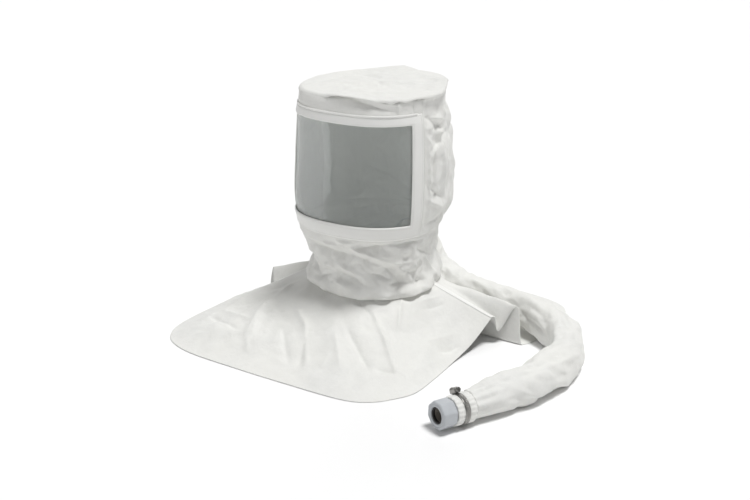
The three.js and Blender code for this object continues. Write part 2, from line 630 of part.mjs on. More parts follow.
// The connector: an eight-sided nut with a round barrel, bored through and widened at its mouth
function connector() {
  const nut = turned([
    [0, 0],
    [NUT_RADIUS - NUT_CHAMFER, 0],
    [NUT_RADIUS, NUT_CHAMFER],
    [NUT_RADIUS, NUT_LENGTH],
    [0, NUT_LENGTH],
  ], CONNECTOR_FACE, CONNECTOR_AXIS, 8);
  const barrel = turned([
    [0, NUT_LENGTH / 2],
    [BARREL_RADIUS, NUT_LENGTH / 2],
    [BARREL_RADIUS, NUT_LENGTH + BARREL_LENGTH],
    [0, NUT_LENGTH + BARREL_LENGTH],
  ], CONNECTOR_FACE, CONNECTOR_AXIS);
  const bore = turned([
    [0, -BORE_RADIUS],
    [MOUTH_RADIUS, -BORE_RADIUS],
    [MOUTH_RADIUS, MOUTH_DEPTH],
    [BORE_RADIUS, MOUTH_DEPTH],
    [BORE_RADIUS, NUT_LENGTH + 2 * BARREL_LENGTH],
    [0, NUT_LENGTH + 2 * BARREL_LENGTH],
  ], CONNECTOR_FACE, CONNECTOR_AXIS);
  return fromSolid(toSolid(nut).add(toSolid(barrel)).subtract(toSolid(bore)));
}

function gasket() {
  const outer = MOUTH_RADIUS - GAP;
  return turned([
    [BORE_RADIUS, GASKET_INSET],
    [outer, GASKET_INSET],
    [outer, GASKET_INSET + GASKET_LENGTH],
    [BORE_RADIUS, GASKET_INSET + GASKET_LENGTH],
  ], CONNECTOR_FACE, CONNECTOR_AXIS, 24);
}

// The clamp: a thin band round the cuff, with a housing and a screw across it
const BAND_RADIUS = BARREL_RADIUS + GAP + CUFF_WALL + GAP;
const BAND_MIDDLE = NUT_LENGTH + CUFF_GAP + BAND_START + BAND_WIDTH / 2;

function clampBand() {
  const half = BAND_WIDTH / 2;
  return turned([
    [BAND_RADIUS, BAND_MIDDLE - half],
    [BAND_RADIUS + BAND_WALL, BAND_MIDDLE - half],
    [BAND_RADIUS + BAND_WALL, BAND_MIDDLE + half],
    [BAND_RADIUS, BAND_MIDDLE + half],
  ], CONNECTOR_FACE, CONNECTOR_AXIS);
}

// Directions at the clamp's housing: outward from the hose, and along the screw
const clampSide = new THREE.Vector3().crossVectors(CONNECTOR_AXIS, new THREE.Vector3(0, 0, 1)).normalize();
const clampUp = new THREE.Vector3().crossVectors(clampSide, CONNECTOR_AXIS).normalize();
const clampOut = clampUp.clone().multiplyScalar(Math.cos(radians(HOUSING_TURN)))
  .addScaledVector(clampSide, -Math.sin(radians(HOUSING_TURN)));
const screwAxis = new THREE.Vector3().crossVectors(CONNECTOR_AXIS, clampOut).normalize();
const screwHeight = BAND_RADIUS + BAND_WALL + GAP + HOUSING_HEIGHT / 2;
const screwMiddle = alongConnector(BAND_MIDDLE).addScaledVector(clampOut, screwHeight);

function clampHousing() {
  const half = BAND_WIDTH / 2;
  const shape = new THREE.Shape();
  shape.moveTo(-half, -HOUSING_HEIGHT / 2);
  shape.lineTo(half, -HOUSING_HEIGHT / 2);
  shape.lineTo(half, 0);
  shape.absarc(0, 0, half, 0, Math.PI, false);
  shape.lineTo(-half, -HOUSING_HEIGHT / 2);
  const hole = new THREE.Path();
  hole.absarc(0, 0, SCREW_RADIUS + GAP, 0, 2 * Math.PI, true);
  shape.holes.push(hole);
  const options = { depth: HOUSING_LENGTH, bevelEnabled: false, curveSegments: 12 };
  const geometry = new THREE.ExtrudeGeometry(shape, options);
  const across = new THREE.Vector3().crossVectors(clampOut, screwAxis);
  geometry.applyMatrix4(new THREE.Matrix4().makeBasis(across, clampOut, screwAxis));
  const start = screwMiddle.clone().addScaledVector(screwAxis, -HOUSING_LENGTH / 2);
  geometry.translate(start.x, start.y, start.z);
  return plain(geometry);
}

function clampScrew() {
  const half = HOUSING_LENGTH / 2;
  return turned([
    [0, -half - SCREW_RADIUS],
    [SCREW_RADIUS, -half - SCREW_RADIUS],
    [SCREW_RADIUS, half + GAP],
    [SCREW_HEAD_RADIUS, half + GAP],
    [SCREW_HEAD_RADIUS, half + GAP + SCREW_HEAD_LENGTH],
    [0, half + GAP + SCREW_HEAD_LENGTH],
  ], screwMiddle, screwAxis, 12);
}

const group = new THREE.Group();
group.position.z = -SEAT_HEIGHT;

function add(name, geometry, material) {
  const mesh = new THREE.Mesh(geometry, material);
  mesh.name = name;
  group.add(mesh);
}

const sideTurns = [TAPE_TURN, 360 - TAPE_TURN];
const sideHeights = [NECK_TOP_HEIGHT + GAP, RIM_HEIGHT];
const browTurns = [-TAPE_TURN + EDGE_TURN, TAPE_TURN - EDGE_TURN];
const browHeights = [TAPE_TOP_HEIGHT + GAP, RIM_HEIGHT];
const pipingHeights = [TAPE_TOP_HEIGHT - PIPING_HEIGHT / 2, TAPE_TOP_HEIGHT + PIPING_HEIGHT / 2];
const pipingOut = PIPING_DEPTH + GAP;

add('crown_panel', crown(), cloth);
add('brow_panel', headPanel(browTurns, browHeights, FRONT_COLUMNS, 2, CLOTH_WALL), cloth);
add('brow_piping', headPanel(browTurns, pipingHeights, FRONT_COLUMNS, 1, PIPING_DEPTH, pipingOut), tape);
add('lens_tape', windowTape(), tape);
add('lens', lens(), clear);
add('side_back_panel', headPanel(sideTurns, sideHeights, SIDE_COLUMNS, SIDE_ROWS, CLOTH_WALL), cloth);
add('neck_panel', neckWithInlet(), cloth);
add('front_bib', bibPanel(FRONT_STATIONS, BIB_FRONT), cloth);
add('rear_bib', bibPanel(REAR_STATIONS, BIB_BACK), cloth);
add('shoulder_tape_left', shoulderTape(FRONT_TURNS[0], REAR_TURNS[0]), tape);
add('shoulder_tape_right', shoulderTape(FRONT_TURNS[1], REAR_TURNS[1]), tape);
add('hose_inlet', inletRing(), plastic);
add('air_hose', hose(), cloth);
add('sleeve_cuff', sleeveCuff(), cloth);
add('hose_connector', connector(), plastic);
add('connector_gasket', gasket(), rubber);
add('clamp_band', clampBand(), steel);
add('clamp_housing', clampHousing(), steel);
add('clamp_screw', clampScrew(), steel);

export default group;
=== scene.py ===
# %% [markdown]
# # A supplied-air hood, piece by piece
#
# The hood is a soft head cover of coated nonwoven cloth with a clear window, a gathered neck,
# two bibs that spread over the shoulders and a sleeved breathing hose with a threaded connector.
# Each cell below makes one step of the model and prints what it made or measured. Heights are
# measured in millimetres above the surface that the hood stands on, and become metres in the
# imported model's frame when a mesh is made.

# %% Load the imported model
import math

import bmesh
import bpy
import numpy as np
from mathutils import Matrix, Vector
from mathutils.geometry import delaunay_2d_cdt


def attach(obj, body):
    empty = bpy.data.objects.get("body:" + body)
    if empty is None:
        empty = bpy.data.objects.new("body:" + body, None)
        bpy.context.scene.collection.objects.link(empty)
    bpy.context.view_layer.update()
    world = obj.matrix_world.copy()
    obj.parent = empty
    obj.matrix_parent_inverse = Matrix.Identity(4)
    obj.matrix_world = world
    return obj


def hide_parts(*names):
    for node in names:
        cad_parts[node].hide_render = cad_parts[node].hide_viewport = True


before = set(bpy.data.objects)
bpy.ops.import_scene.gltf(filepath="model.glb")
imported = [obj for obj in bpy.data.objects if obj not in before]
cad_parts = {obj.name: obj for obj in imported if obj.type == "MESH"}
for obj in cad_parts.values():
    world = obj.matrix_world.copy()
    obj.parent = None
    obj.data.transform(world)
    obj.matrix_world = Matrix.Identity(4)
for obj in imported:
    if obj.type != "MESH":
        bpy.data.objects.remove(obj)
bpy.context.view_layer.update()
scene = bpy.context.scene

# %% [markdown]
# ## Camera
#
# The photograph looks a little down at the hood from its front left, from about 1.7 m. The
# position and the focal length come from matching the outline of the head part, the hem and the
# hose in the photograph with their real sizes.

# %% Camera
camera_data = bpy.data.cameras.new("photo_camera")
camera = bpy.data.objects.new("photo_camera", camera_data)
scene.collection.objects.link(camera)
camera.location = (0.9259, -1.4257, 0.3384)
aim = Vector((0, 0, -0.2804)) - camera.location
camera.rotation_euler = aim.to_track_quat("-Z", "Y").to_euler()
camera_data.sensor_width = 36
camera_data.lens = 52.94
camera_data.dof.use_dof = False
scene.camera = camera
print("camera distance", round(aim.length, 3))

# %% [markdown]
# ## Sizes and sections
#
# The head part and the neck are drawn as level sections, the bibs as stations that run from the
# neck seam to the hem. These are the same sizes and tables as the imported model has, so that each
# fine piece lies where its plain solid lies. Two more tables say what the soft cloth does beyond
# them: how far it leans over, and how the crown's edge rises, hangs and stands out.

# %% Sizes and section tables, in millimetres and shares
MM = 0.001
RIM_HEIGHT = 403.0
CROWN_RISE = 9.0
CLOTH_WALL = 1.6
SEAT_HEIGHT = RIM_HEIGHT + CROWN_RISE - CLOTH_WALL
TAPE_TOP_HEIGHT = 380.0
WINDOW_TOP_HEIGHT = 365.0
WINDOW_BOTTOM_HEIGHT = 208.0
TAPE_BOTTOM_HEIGHT = 184.5
NECK_TOP_HEIGHT = 183.0
SEAM_HEIGHT = 88.0
SEAM_TILT = 9.0
HEAD_HALF_WIDTH = 121.0
HEAD_FRONT = 114.0
HEAD_BACK = 132.0
WINDOW_TURN = 60.0
TAPE_TURN = 70.0
INLET_TURN = 176.0
INLET_HEIGHT = 135.0
BIB_HALF_WIDTH = 250.0
BIB_FRONT = 263.0
BIB_BACK = 262.0

# height, half width, front, back, squareness ahead, squareness to the rear
SECTIONS = np.array([
    [0.200, 0.860, 0.810, 0.735, 2.1, 2.10],
    [0.225, 0.885, 0.880, 0.770, 2.1, 2.10],
    [0.255, 0.880, 0.915, 0.780, 2.1, 2.10],
    [0.310, 0.818, 0.915, 0.765, 2.1, 2.10],
    [0.372, 0.835, 0.912, 0.750, 2.1, 2.10],
    [0.420, 0.858, 0.920, 0.765, 2.2, 2.10],
    [0.446, 0.875, 0.945, 0.800, 2.3, 2.20],
    [0.470, 0.912, 0.985, 0.845, 2.3, 2.20],
    [0.558, 0.975, 1.000, 0.940, 2.3, 2.30],
    [0.720, 1.000, 1.000, 1.000, 2.3, 2.30],
    [0.820, 0.983, 1.000, 0.977, 2.4, 2.25],
    [0.906, 0.958, 0.991, 0.940, 2.5, 2.05],
    [0.943, 0.926, 0.965, 0.894, 2.6, 2.00],
    [1.000, 0.926, 0.912, 0.924, 2.6, 2.05],
])

# place on the neck seam in degrees, then the hem: across, along, height, and how early it falls
FRONT_STATIONS = np.array([
    [95, 0.812, 0.106, 0.52, 1.00],
    [86, 0.768, -0.053, 0.16, 0.90],
    [76, 0.748, -0.228, 0.02, 0.95],
    [62, 0.760, -0.494, 0.00, 1.10],
    [49, 0.756, -0.703, 0.00, 1.20],
    [40, 0.690, -0.825, 0.00, 1.20],
    [31, 0.598, -0.924, 0.00, 1.20],
    [19, 0.440, -0.985, 0.00, 1.20],
    [4, 0.060, -1.000, 0.00, 1.15],
    [-12, -0.340, -1.000, 0.00, 1.15],
    [-28, -0.730, -0.985, 0.00, 1.15],
    [-39, -0.930, -0.925, 0.00, 1.15],
    [-48, -1.025, -0.835, 0.00, 1.15],
    [-58, -1.070, -0.700, 0.01, 1.10],
    [-70, -1.062, -0.455, 0.04, 1.05],
    [-82, -1.000, -0.190, 0.11, 1.00],
    [-95, -0.885, 0.015, 0.20, 1.00],
])
REAR_STATIONS = np.array([
    [99, 0.826, 0.134, 0.50, 1.00],
    [105, 0.845, 0.150, 0.24, 0.55],
    [113, 0.925, 0.237, 0.68, 1.00],
    [121, 0.985, 0.203, 0.00, 7.00],
    [131, 1.035, 0.335, 0.00, 10.00],
    [143, 1.050, 0.640, 0.00, 12.00],
    [153, 0.950, 0.890, 0.00, 12.00],
    [164, 0.640, 0.980, 0.00, 12.00],
    [178, 0.100, 1.000, 0.00, 10.00],
    [194, -0.480, 0.990, 0.00, 6.00],
    [208, -0.900, 0.900, 0.00, 3.50],
    [224, -1.050, 0.620, 0.00, 2.20],
    [239, -1.040, 0.330, 0.00, 2.60],
    [248, -0.985, 0.125, 0.00, 2.20],
    [255, -0.944, 0.107, 0.47, 1.00],
    [261, -0.895, 0.044, 0.21, 1.00],
])
# height, then how far the soft cloth leans out at the wearer's right and at the left of the back
LEAN = np.array([
    [125, 0.0, 0.0],
    [138, 1.0, -1.0],
    [152, 5.0, -4.5],
    [170, 9.5, -5.0],
    [190, 9.0, -3.0],
    [208, 9.0, -0.5],
    [225, 8.0, -1.0],
    [260, 5.5, -3.0],
    [300, 2.5, -4.5],
    [340, 0.5, -4.0],
    [372, 0.0, -1.0],
    [400, 0.0, 0.0],
])
RIGHT_LEAN_TURN, RIGHT_LEAN_SPREAD = -57, 34
LEFT_LEAN_TURN, LEFT_LEAN_SPREAD = 123, 30
# turn, then how far the rim stands out, hangs down and rises, and the radius of its edge
RIM = np.array([
    (-60, 0.2, 0.6, 1.0, 6.5), (-30, 0.2, 0.6, 0.5, 6.5), (-14, 0.3, 0.8, 0.5, 6.0),
    (-6, 1.5, 0.3, 2.0, 3.5), (2, 3.0, 0.2, 3.0, 2.0), (14, 3.0, 0.4, 3.0, 2.0),
    (26, 3.6, 1.2, 1.8, 2.0), (30, 3.0, 2.6, 0.8, 2.2), (34, 0.8, 2.0, 0.0, 4.0),
    (40, 1.6, 1.0, 0.4, 3.5), (45, 0.6, 2.4, 0.0, 4.5), (50, 2.4, 0.8, 0.6, 3.0),
    (56, 0.6, 0.6, 0.0, 5.0), (64, 1.8, 0.6, 1.0, 2.5), (71, 2.6, 1.4, 0.6, 2.2),
    (77, 0.8, 0.8, 0.0, 4.0), (86, 2.0, 2.6, 0.0, 3.0), (94, 2.8, 3.4, 0.0, 3.0),
    (101, 0.6, 1.0, 1.0, 4.0), (110, -1.6, 0.5, 4.0, 3.5), (117, -3.0, 0.4, 8.0, 2.5),
    (122, -3.2, 0.4, 9.5, 2.2), (128, -2.4, 0.5, 7.0, 3.0), (140, 0.0, 0.8, 4.5, 5.0),
    (152, 1.6, 1.4, 4.0, 4.0), (165, 1.0, 0.8, 4.0, 5.0), (177, 1.6, 1.4, 3.0, 4.0),
    (183, 0.8, 0.8, 6.5, 4.0), (190, 1.0, 0.8, 9.0, 3.5), (204, 1.6, 1.4, 5.5, 4.5),
    (220, 0.8, 0.8, 2.5, 5.0), (240, 1.6, 1.6, 1.5, 4.5), (256, 0.4, 0.6, 1.5, 6.0),
    (272, 1.4, 1.4, 1.5, 5.0), (288, 0.3, 0.6, 1.2, 6.0),
])
FRONT_TURNS = (95.0, -95.0)
REAR_TURNS = (99.0, 261.0)
UP = np.array([0, 0, 1.0])


def smooth(value, start, end):
    """From 0 at the start to 1 at the end, level at both."""
    t = np.clip((np.asarray(value, float) - start) / (end - start), 0, 1)
    return t * t * (3 - 2 * t)


def between(rows, column, value):
    """One column of a table at any place between its rows, on a smooth curve through them."""
    sign = 1.0 if rows[-1, 0] > rows[0, 0] else -1.0
    key = rows[:, 0] * sign
    data = rows[:, column]
    value = np.asarray(value, float) * sign
    last = len(key) - 1
    i = np.clip(np.searchsorted(key, value, side="right") - 1, 0, last - 1)
    ahead = np.minimum(np.arange(last + 1) + 1, last)
    behind = np.maximum(np.arange(last + 1) - 1, 0)
    slope = (data[ahead] - data[behind]) / (key[ahead] - key[behind])
    span = key[i + 1] - key[i]
    t = np.clip((value - key[i]) / span, 0, 1)
    h = t * t * (3 - 2 * t)
    lead = t * (1 - t) ** 2 * span * slope[i]
    trail = t * t * (t - 1) * span * slope[i + 1]
    return data[i] * (1 - h) + data[i + 1] * h + lead + trail


def signed(turn):
    """A turn in degrees from -180 to 180."""
    return (np.asarray(turn, float) + 180) % 360 - 180


def plain_reach(turn, height):
    """How far the smooth head part and neck reach at a turn and a height."""
    share = np.asarray(height, float) / RIM_HEIGHT
    angle = np.radians(turn)
    ahead = np.cos(angle) > 0
    across = between(SECTIONS, 1, share) * HEAD_HALF_WIDTH
    along = np.where(ahead, between(SECTIONS, 2, share) * HEAD_FRONT,
                     between(SECTIONS, 3, share) * HEAD_BACK)
    square = np.where(ahead, between(SECTIONS, 4, share), between(SECTIONS, 5, share))
    sine = np.abs(np.sin(angle)) / across
    cosine = np.abs(np.cos(angle)) / along
    even = (sine ** square + cosine ** square) ** (-1 / square)
    right = np.exp(-((signed(turn - RIGHT_LEAN_TURN) / RIGHT_LEAN_SPREAD) ** 2))
    left = np.exp(-((signed(turn - LEFT_LEAN_TURN) / LEFT_LEAN_SPREAD) ** 2))
    return even + between(LEAN, 1, height) * right + between(LEAN, 2, height) * left


def rim(turn):
    """How far the rim stands out, hangs down and rises at a turn, and the radius of its edge."""
    return [np.interp(turn, RIM[:, 0], RIM[:, k], period=360) for k in (1, 2, 3, 4)]


def seam_height(turn):
    """The height of the seam between the neck and the bibs."""
    return SEAM_HEIGHT - SEAM_TILT * np.cos(np.radians(turn))


def steps(start, end, count):
    """Even steps from start to end, both counted."""
    return np.linspace(start, end, count)


def unit(vectors):
    """The same directions, each with length one."""
    return vectors / np.linalg.norm(vectors, axis=-1, keepdims=True)


def place(turn, reach, height):
    """Points from turns, reaches and heights."""
    angle = np.radians(turn)
    return np.stack(np.broadcast_arrays(reach * np.sin(angle), -reach * np.cos(angle), height), -1)


print("reach in front, at the side, behind:",
      [round(float(plain_reach(t, 290)), 1) for t in (0, 90, 180)])

# %% [markdown]
# ## Crumpled cloth
#
# Coated nonwoven cloth is stiff for its weight: it doesn't flow in round waves but breaks into
# flat facets that meet in sharp ridges. Such a field is made by scattering points over the sheet,
# giving each a height and joining them into triangles. The triangles are the facets and
# their edges the creases, and a light blur rounds the edges to the thickness of the cloth.

# %% Crumpled fields and single folds
def crumple(u, v, size, seed, stretch=(1.0, 1.0), rounding=2, step=1.5):
    """Heights from -1 to 1 at u, v in millimetres, of a sheet broken into facets of that size.

    The scattered points depend on the smallest and largest u and v, so pieces whose edges have to
    meet take their fields from one call.
    """
    rng = np.random.default_rng(seed)
    u = u / stretch[0]
    v = v / stretch[1]
    low = np.array([u.min(), v.min()]) - size
    wide, high = np.array([u.max(), v.max()]) + size - low
    columns, rows = int(wide / size) + 2, int(high / size) + 2
    grid = np.stack(np.meshgrid(np.arange(columns), np.arange(rows)), -1).reshape(-1, 2) * size
    points = grid + rng.uniform(-0.46, 0.46, grid.shape) * size
    heights = rng.uniform(-1, 1, len(points))
    found, _, faces, origin, _, _ = delaunay_2d_cdt([Vector(p) for p in points], [], [], 0, 1e-6)
    found = np.array([list(p) for p in found])
    heights = np.array([heights[o[0]] if o else 0.0 for o in origin])
    field = np.zeros((int(high / step) + 3, int(wide / step) + 3))
    for face in faces:
        corner = found[list(face)] / step
        a, b, c = corner
        x0, y0 = np.maximum(np.floor(corner.min(0)).astype(int), 0)
        x1, y1 = np.minimum(np.ceil(corner.max(0)).astype(int) + 1, (field.shape[1], field.shape[0]))
        area = (b[0] - a[0]) * (c[1] - a[1]) - (b[1] - a[1]) * (c[0] - a[0])
        if x1 <= x0 or y1 <= y0 or abs(area) < 1e-9:
            continue
        x, y = np.meshgrid(np.arange(x0, x1), np.arange(y0, y1))
        wb = ((x - a[0]) * (c[1] - a[1]) - (y - a[1]) * (c[0] - a[0])) / area
        wc = ((b[0] - a[0]) * (y - a[1]) - (b[1] - a[1]) * (x - a[0])) / area
        wa = 1 - wb - wc
        inside = (wa >= -1e-6) & (wb >= -1e-6) & (wc >= -1e-6)
        ha, hb, hc = heights[list(face)]
        part = field[y0:y1, x0:x1]
        part[inside] = (wa * ha + wb * hb + wc * hc)[inside]
    for _ in range(rounding):
        field[1:-1] = (field[:-2] + 2 * field[1:-1] + field[2:]) / 4
        field[:, 1:-1] = (field[:, :-2] + 2 * field[:, 1:-1] + field[:, 2:]) / 4
    fx = np.clip((u - low[0]) / step, 0, field.shape[1] - 2)
    fy = np.clip((v - low[1]) / step, 0, field.shape[0] - 2)
    ix, iy = fx.astype(int), fy.astype(int)
    tx, ty = fx - ix, fy - iy
    top = field[iy, ix] * (1 - tx) + field[iy, ix + 1] * tx
    bottom = field[iy + 1, ix] * (1 - tx) + field[iy + 1, ix + 1] * tx
    return top * (1 - ty) + bottom * ty


def ridge(off, width):
    """The profile of a crease: a fine rounded crest between slopes that fade out."""
    core = 0.22 * width
    return np.exp(-(np.sqrt(off ** 2 + core ** 2) - core) / (0.62 * width))


def fold(across, up, slope, length, width):
    """One fold's share of its height, at places across and up from its middle."""
    tilt = math.radians(slope)
    run = across * math.cos(tilt) + up * math.sin(tilt)
    off = up * math.cos(tilt) - across * math.sin(tilt)
    return ridge(off, width) * np.exp(-((2 * run / length) ** 2))


def folds_on_head(turn, height, rows):
    """Depth of folds listed as turn, height, slope, length, width and depth, in millimetres."""
    depth = 0
    for at, level, slope, length, width, push in rows:
        across = np.radians(signed(turn - at)) * HEAD_HALF_WIDTH
        depth = depth + push * fold(across, height - level, slope, length, width)
    return depth


print("a crease's share of its height at 0, 1 and 2 widths:",
      [round(float(ridge(w, 1.0)), 2) for w in (0, 1, 2)])


# %% [markdown]
# ## Sheets with a thickness
#
# Every cloth piece is a grid of points. It gets a second layer inside it, one wall away along its
# own normals, and a rounded rim that joins the two, so that each piece is one closed body whose
# cut edge catches the light.

# %% Making closed sheets from grids of points
def safe_unit(vectors):
    """Directions with length one, also where a grid has shrunk to a point."""
    return vectors / np.maximum(np.linalg.norm(vectors, axis=-1, keepdims=True), 1e-9)


def normals_of(points, wrap):
    """The direction square to a grid of points at each of them."""
    if wrap:
        across = np.roll(points, -1, 1) - np.roll(points, 1, 1)
    else:
        across = np.gradient(points, axis=1)
    along = np.gradient(points, axis=0)
    return safe_unit(np.cross(across, along))


def to_frame(points):
    """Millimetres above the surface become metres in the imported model's frame."""
    return (points - np.array([0, 0, SEAT_HEIGHT])) * MM


def make_mesh(name, vertices, faces):
    """A new object with its place in the mesh."""
    mesh = bpy.data.meshes.new(name)
    mesh.from_pydata([tuple(p) for p in vertices], [], faces)
    mesh.validate()
    mesh.shade_smooth()
    piece = bpy.data.objects.new(name, mesh)
    scene.collection.objects.link(piece)
    return piece


def sheet(name, outer, wall, wrap=False, flip=False, floor=None, capped=False):
    """A closed piece from its outer grid of points, rows by columns."""
    square = normals_of(outer, wrap) * (-1 if flip else 1)
    inner = outer - square * wall
    if floor is not None:
        outer = outer.copy()
        outer[..., 2] = np.maximum(outer[..., 2], floor + wall)
        inner[..., 2] = np.maximum(inner[..., 2], floor)
        inner[..., 2] = np.minimum(inner[..., 2], outer[..., 2] - 0.4 * wall)
    rows, columns = outer.shape[:2]
    count = rows * columns
    index = np.arange(count).reshape(rows, columns)
    vertices = [outer.reshape(-1, 3), inner.reshape(-1, 3)]
    right = np.roll(index, -1, 1) if wrap else index[:, 1:]
    left = index if wrap else index[:, :-1]
    quads = np.stack([left[:-1], right[:-1], right[1:], left[1:]], -1).reshape(-1, 4)
    if flip:
        quads = quads[:, ::-1]
    faces = [quads, quads[:, ::-1] + count]
    if wrap:
        loops = [index[-1]] if capped else [index[0][::-1], index[-1]]
    else:
        loops = [np.concatenate([index[-1, :-1], index[::-1, -1][:-1], index[0][::-1][:-1],
                                 index[:, 0][:-1]])]
    total = 2 * count
    flat_outer, flat_inner = outer.reshape(-1, 3), inner.reshape(-1, 3)
    for loop in loops:
        if flip:
            loop = loop[::-1]
        a, b = flat_outer[loop], flat_inner[loop]
        nearby = (a + b) / 2
        tangent = np.roll(nearby, -1, 0) - np.roll(nearby, 1, 0)
        bulge = 0.3 * wall * safe_unit(np.cross(a - b, tangent))
        ring = np.arange(len(loop)) + total  # the rounded rim's own line of points
        total += len(loop)
        vertices.append(nearby + bulge)
        after = np.roll(loop, -1)
        ring_after = np.roll(ring, -1)
        faces.append(np.stack([after, ring_after, ring, loop], -1))
        faces.append(np.stack([ring_after, after + count, loop + count, ring], -1))
    if capped:
        top, under = outer[0].mean(0), inner[0].mean(0)
        vertices.append(np.array([top, under]))
        loop = index[0]
        after = np.roll(loop, -1)
        hub = np.full(len(loop), total)
        fan = np.stack([hub, after, loop], -1)
        below = np.stack([hub + 1, loop + count, after + count], -1)
        if flip:
            fan, below = fan[:, ::-1], below[:, ::-1]
        faces += [fan, below]
    all_faces = [tuple(face) for group in faces for face in group.tolist()]
    piece = make_mesh(name, to_frame(np.concatenate(vertices)), all_faces)
    print(name, "faces", len(piece.data.polygons))
    return piece


print("the surface lies at", round(float(to_frame(np.zeros(3))[2]), 4), "m in the model's frame")

# %% [markdown]
# ## Materials
#
# The cloth is a flash-spun nonwoven with a thin coating: pale, slightly translucent, with a random
# pattern of fine swirled fibres that shows as small differences in tone and gloss, and fine
# crinkles that never quite press out. All patterns read the piece's own object coordinates in
# metres, so they keep their real scale.

# %% Material helpers
def new_material(name):
    """A material with its tree, its shader and its object coordinates."""
    material = bpy.data.materials.new(name)
    material.use_nodes = True
    nodes = material.node_tree.nodes
    shader = nodes["Principled BSDF"]
    coordinates = nodes.new("ShaderNodeTexCoord")
    return material, material.node_tree, shader, coordinates.outputs["Object"]


def add_node(tree, kind, inputs=None, **settings):
    """A node with its inputs linked or set."""
    node = tree.nodes.new(kind)
    for key, value in settings.items():
        setattr(node, key, value)
    for key, value in (inputs or {}).items():
        if isinstance(value, bpy.types.NodeSocket):
            tree.links.new(value, node.inputs[key])
        else:
            node.inputs[key].default_value = value
    return node


def set_inputs(shader, values):
    """Plain values for a shader's inputs."""
    for key, value in values.items():
        shader.inputs[key].default_value = value


def noise_of(tree, vector, scale, detail=4.0, roughness=0.55, distortion=0.0):
    """A noise value from 0 to 1."""
    node = add_node(tree, "ShaderNodeTexNoise", {
        "Vector": vector, "Scale": scale, "Detail": detail, "Roughness": roughness,
        "Distortion": distortion,
    })
    return node.outputs["Fac"]


def spread(tree, value, low, high, to_low, to_high):
    """A value moved from one range to another."""
    node = add_node(tree, "ShaderNodeMapRange", {
        "Value": value, "From Min": low, "From Max": high, "To Min": to_low, "To Max": to_high,
    })
    return node.outputs["Result"]


def mixed(tree, factor, first, second):
    """Two colours mixed by a factor."""
    node = add_node(tree, "ShaderNodeMix", data_type="RGBA")
    tree.links.new(factor, node.inputs[0])
    for socket, value in ((node.inputs[6], first), (node.inputs[7], second)):
        if isinstance(value, bpy.types.NodeSocket):
            tree.links.new(value, socket)
        else:
            socket.default_value = (*value, 1)
    return node.outputs[2]


def bumped(tree, height, distance, strength=1.0, under=None):
    """A normal bent by a height in metres."""
    node = add_node(tree, "ShaderNodeBump",
                    {"Height": height, "Distance": distance, "Strength": strength})
    if under is not None:
        tree.links.new(under, node.inputs["Normal"])
    return node.outputs["Normal"]


def cloth_material(name, light, dark, crinkle=0.0012, fibre=0.00012, sheen=0.12, roughness=0.62):
    """Coated nonwoven cloth: swirled fibres, soft crinkles, and small differences in tone and gloss."""
    material, tree, shader, where = new_material(name)
    fibres = noise_of(tree, where, 620.0, 6.0, 0.62, 1.6)
    clouds = noise_of(tree, where, 55.0, 5.0, 0.6, 0.4)
    wide = noise_of(tree, where, 9.0, 3.0, 0.5)
    tone = add_node(tree, "ShaderNodeMath", {0: fibres, 1: clouds}, operation="MULTIPLY")
    colour = mixed(tree, spread(tree, tone.outputs[0], 0.12, 0.42, 0.0, 1.0), dark, light)
    warm = mixed(tree, spread(tree, wide, 0.35, 0.65, 0.0, 0.5), colour,
                 tuple(c * k for c, k in zip(light, (1.0, 0.995, 0.975))))
    tree.links.new(warm, shader.inputs["Base Color"])
    tree.links.new(spread(tree, clouds, 0.3, 0.7, roughness - 0.07, roughness + 0.07),
                   shader.inputs["Roughness"])
    creases = add_node(tree, "ShaderNodeTexVoronoi", {"Vector": where, "Scale": 95.0},
                       feature="DISTANCE_TO_EDGE")
    soft = spread(tree, creases.outputs["Distance"], 0.0, 0.35, 0.0, 1.0)
    normal = bumped(tree, soft, crinkle * 0.35, 0.35)
    normal = bumped(tree, clouds, crinkle, 0.5, normal)
    normal = bumped(tree, fibres, fibre, 0.8, normal)
    tree.links.new(normal, shader.inputs["Normal"])
    set_inputs(shader, {"Sheen Weight": sheen, "Sheen Roughness": 0.45, "Specular IOR Level": 0.35})
    return material


print("materials so far", len(bpy.data.materials))


# %% [markdown]
# ## What each piece is made of
#
# The head, neck and bibs are one cloth, the sleeve is a slightly more crinkled one, and the border
# is pressed flat. The window is a thin clear film, a little green and hazy. The connector is a pale
# moulded plastic with a black gasket, and the clamp is plain steel.

# %% Materials
CLOTH_LIGHT, CLOTH_DARK = (0.85, 0.85, 0.825), (0.77, 0.77, 0.745)
cloth = cloth_material("hood_cloth", CLOTH_LIGHT, CLOTH_DARK)
sleeve_cloth = cloth_material("sleeve_cloth", CLOTH_LIGHT, CLOTH_DARK, crinkle=0.0016)
border = cloth_material("border_tape", (0.90, 0.90, 0.88), (0.86, 0.86, 0.84),
                        crinkle=0.0003, fibre=0.00008, sheen=0.05, roughness=0.5)
thread, thread_tree, thread_shader, thread_where = new_material("sewing_thread")
twist = add_node(thread_tree, "ShaderNodeTexWave", {
    "Vector": thread_where, "Scale": 1400.0, "Distortion": 2.0, "Detail": 2.0,
}, wave_type="BANDS", bands_direction="DIAGONAL")
strand = twist.outputs["Fac"]
# the white thread is painted darker in the low grooves of its twist: painted shade that follows the
# bump
thread_tree.links.new(mixed(thread_tree, strand, (0.60, 0.60, 0.58), (0.85, 0.85, 0.83)),
                      thread_shader.inputs["Base Color"])
thread_tree.links.new(bumped(thread_tree, strand, 0.00008), thread_shader.inputs["Normal"])
set_inputs(thread_shader, {"Roughness": 0.55})

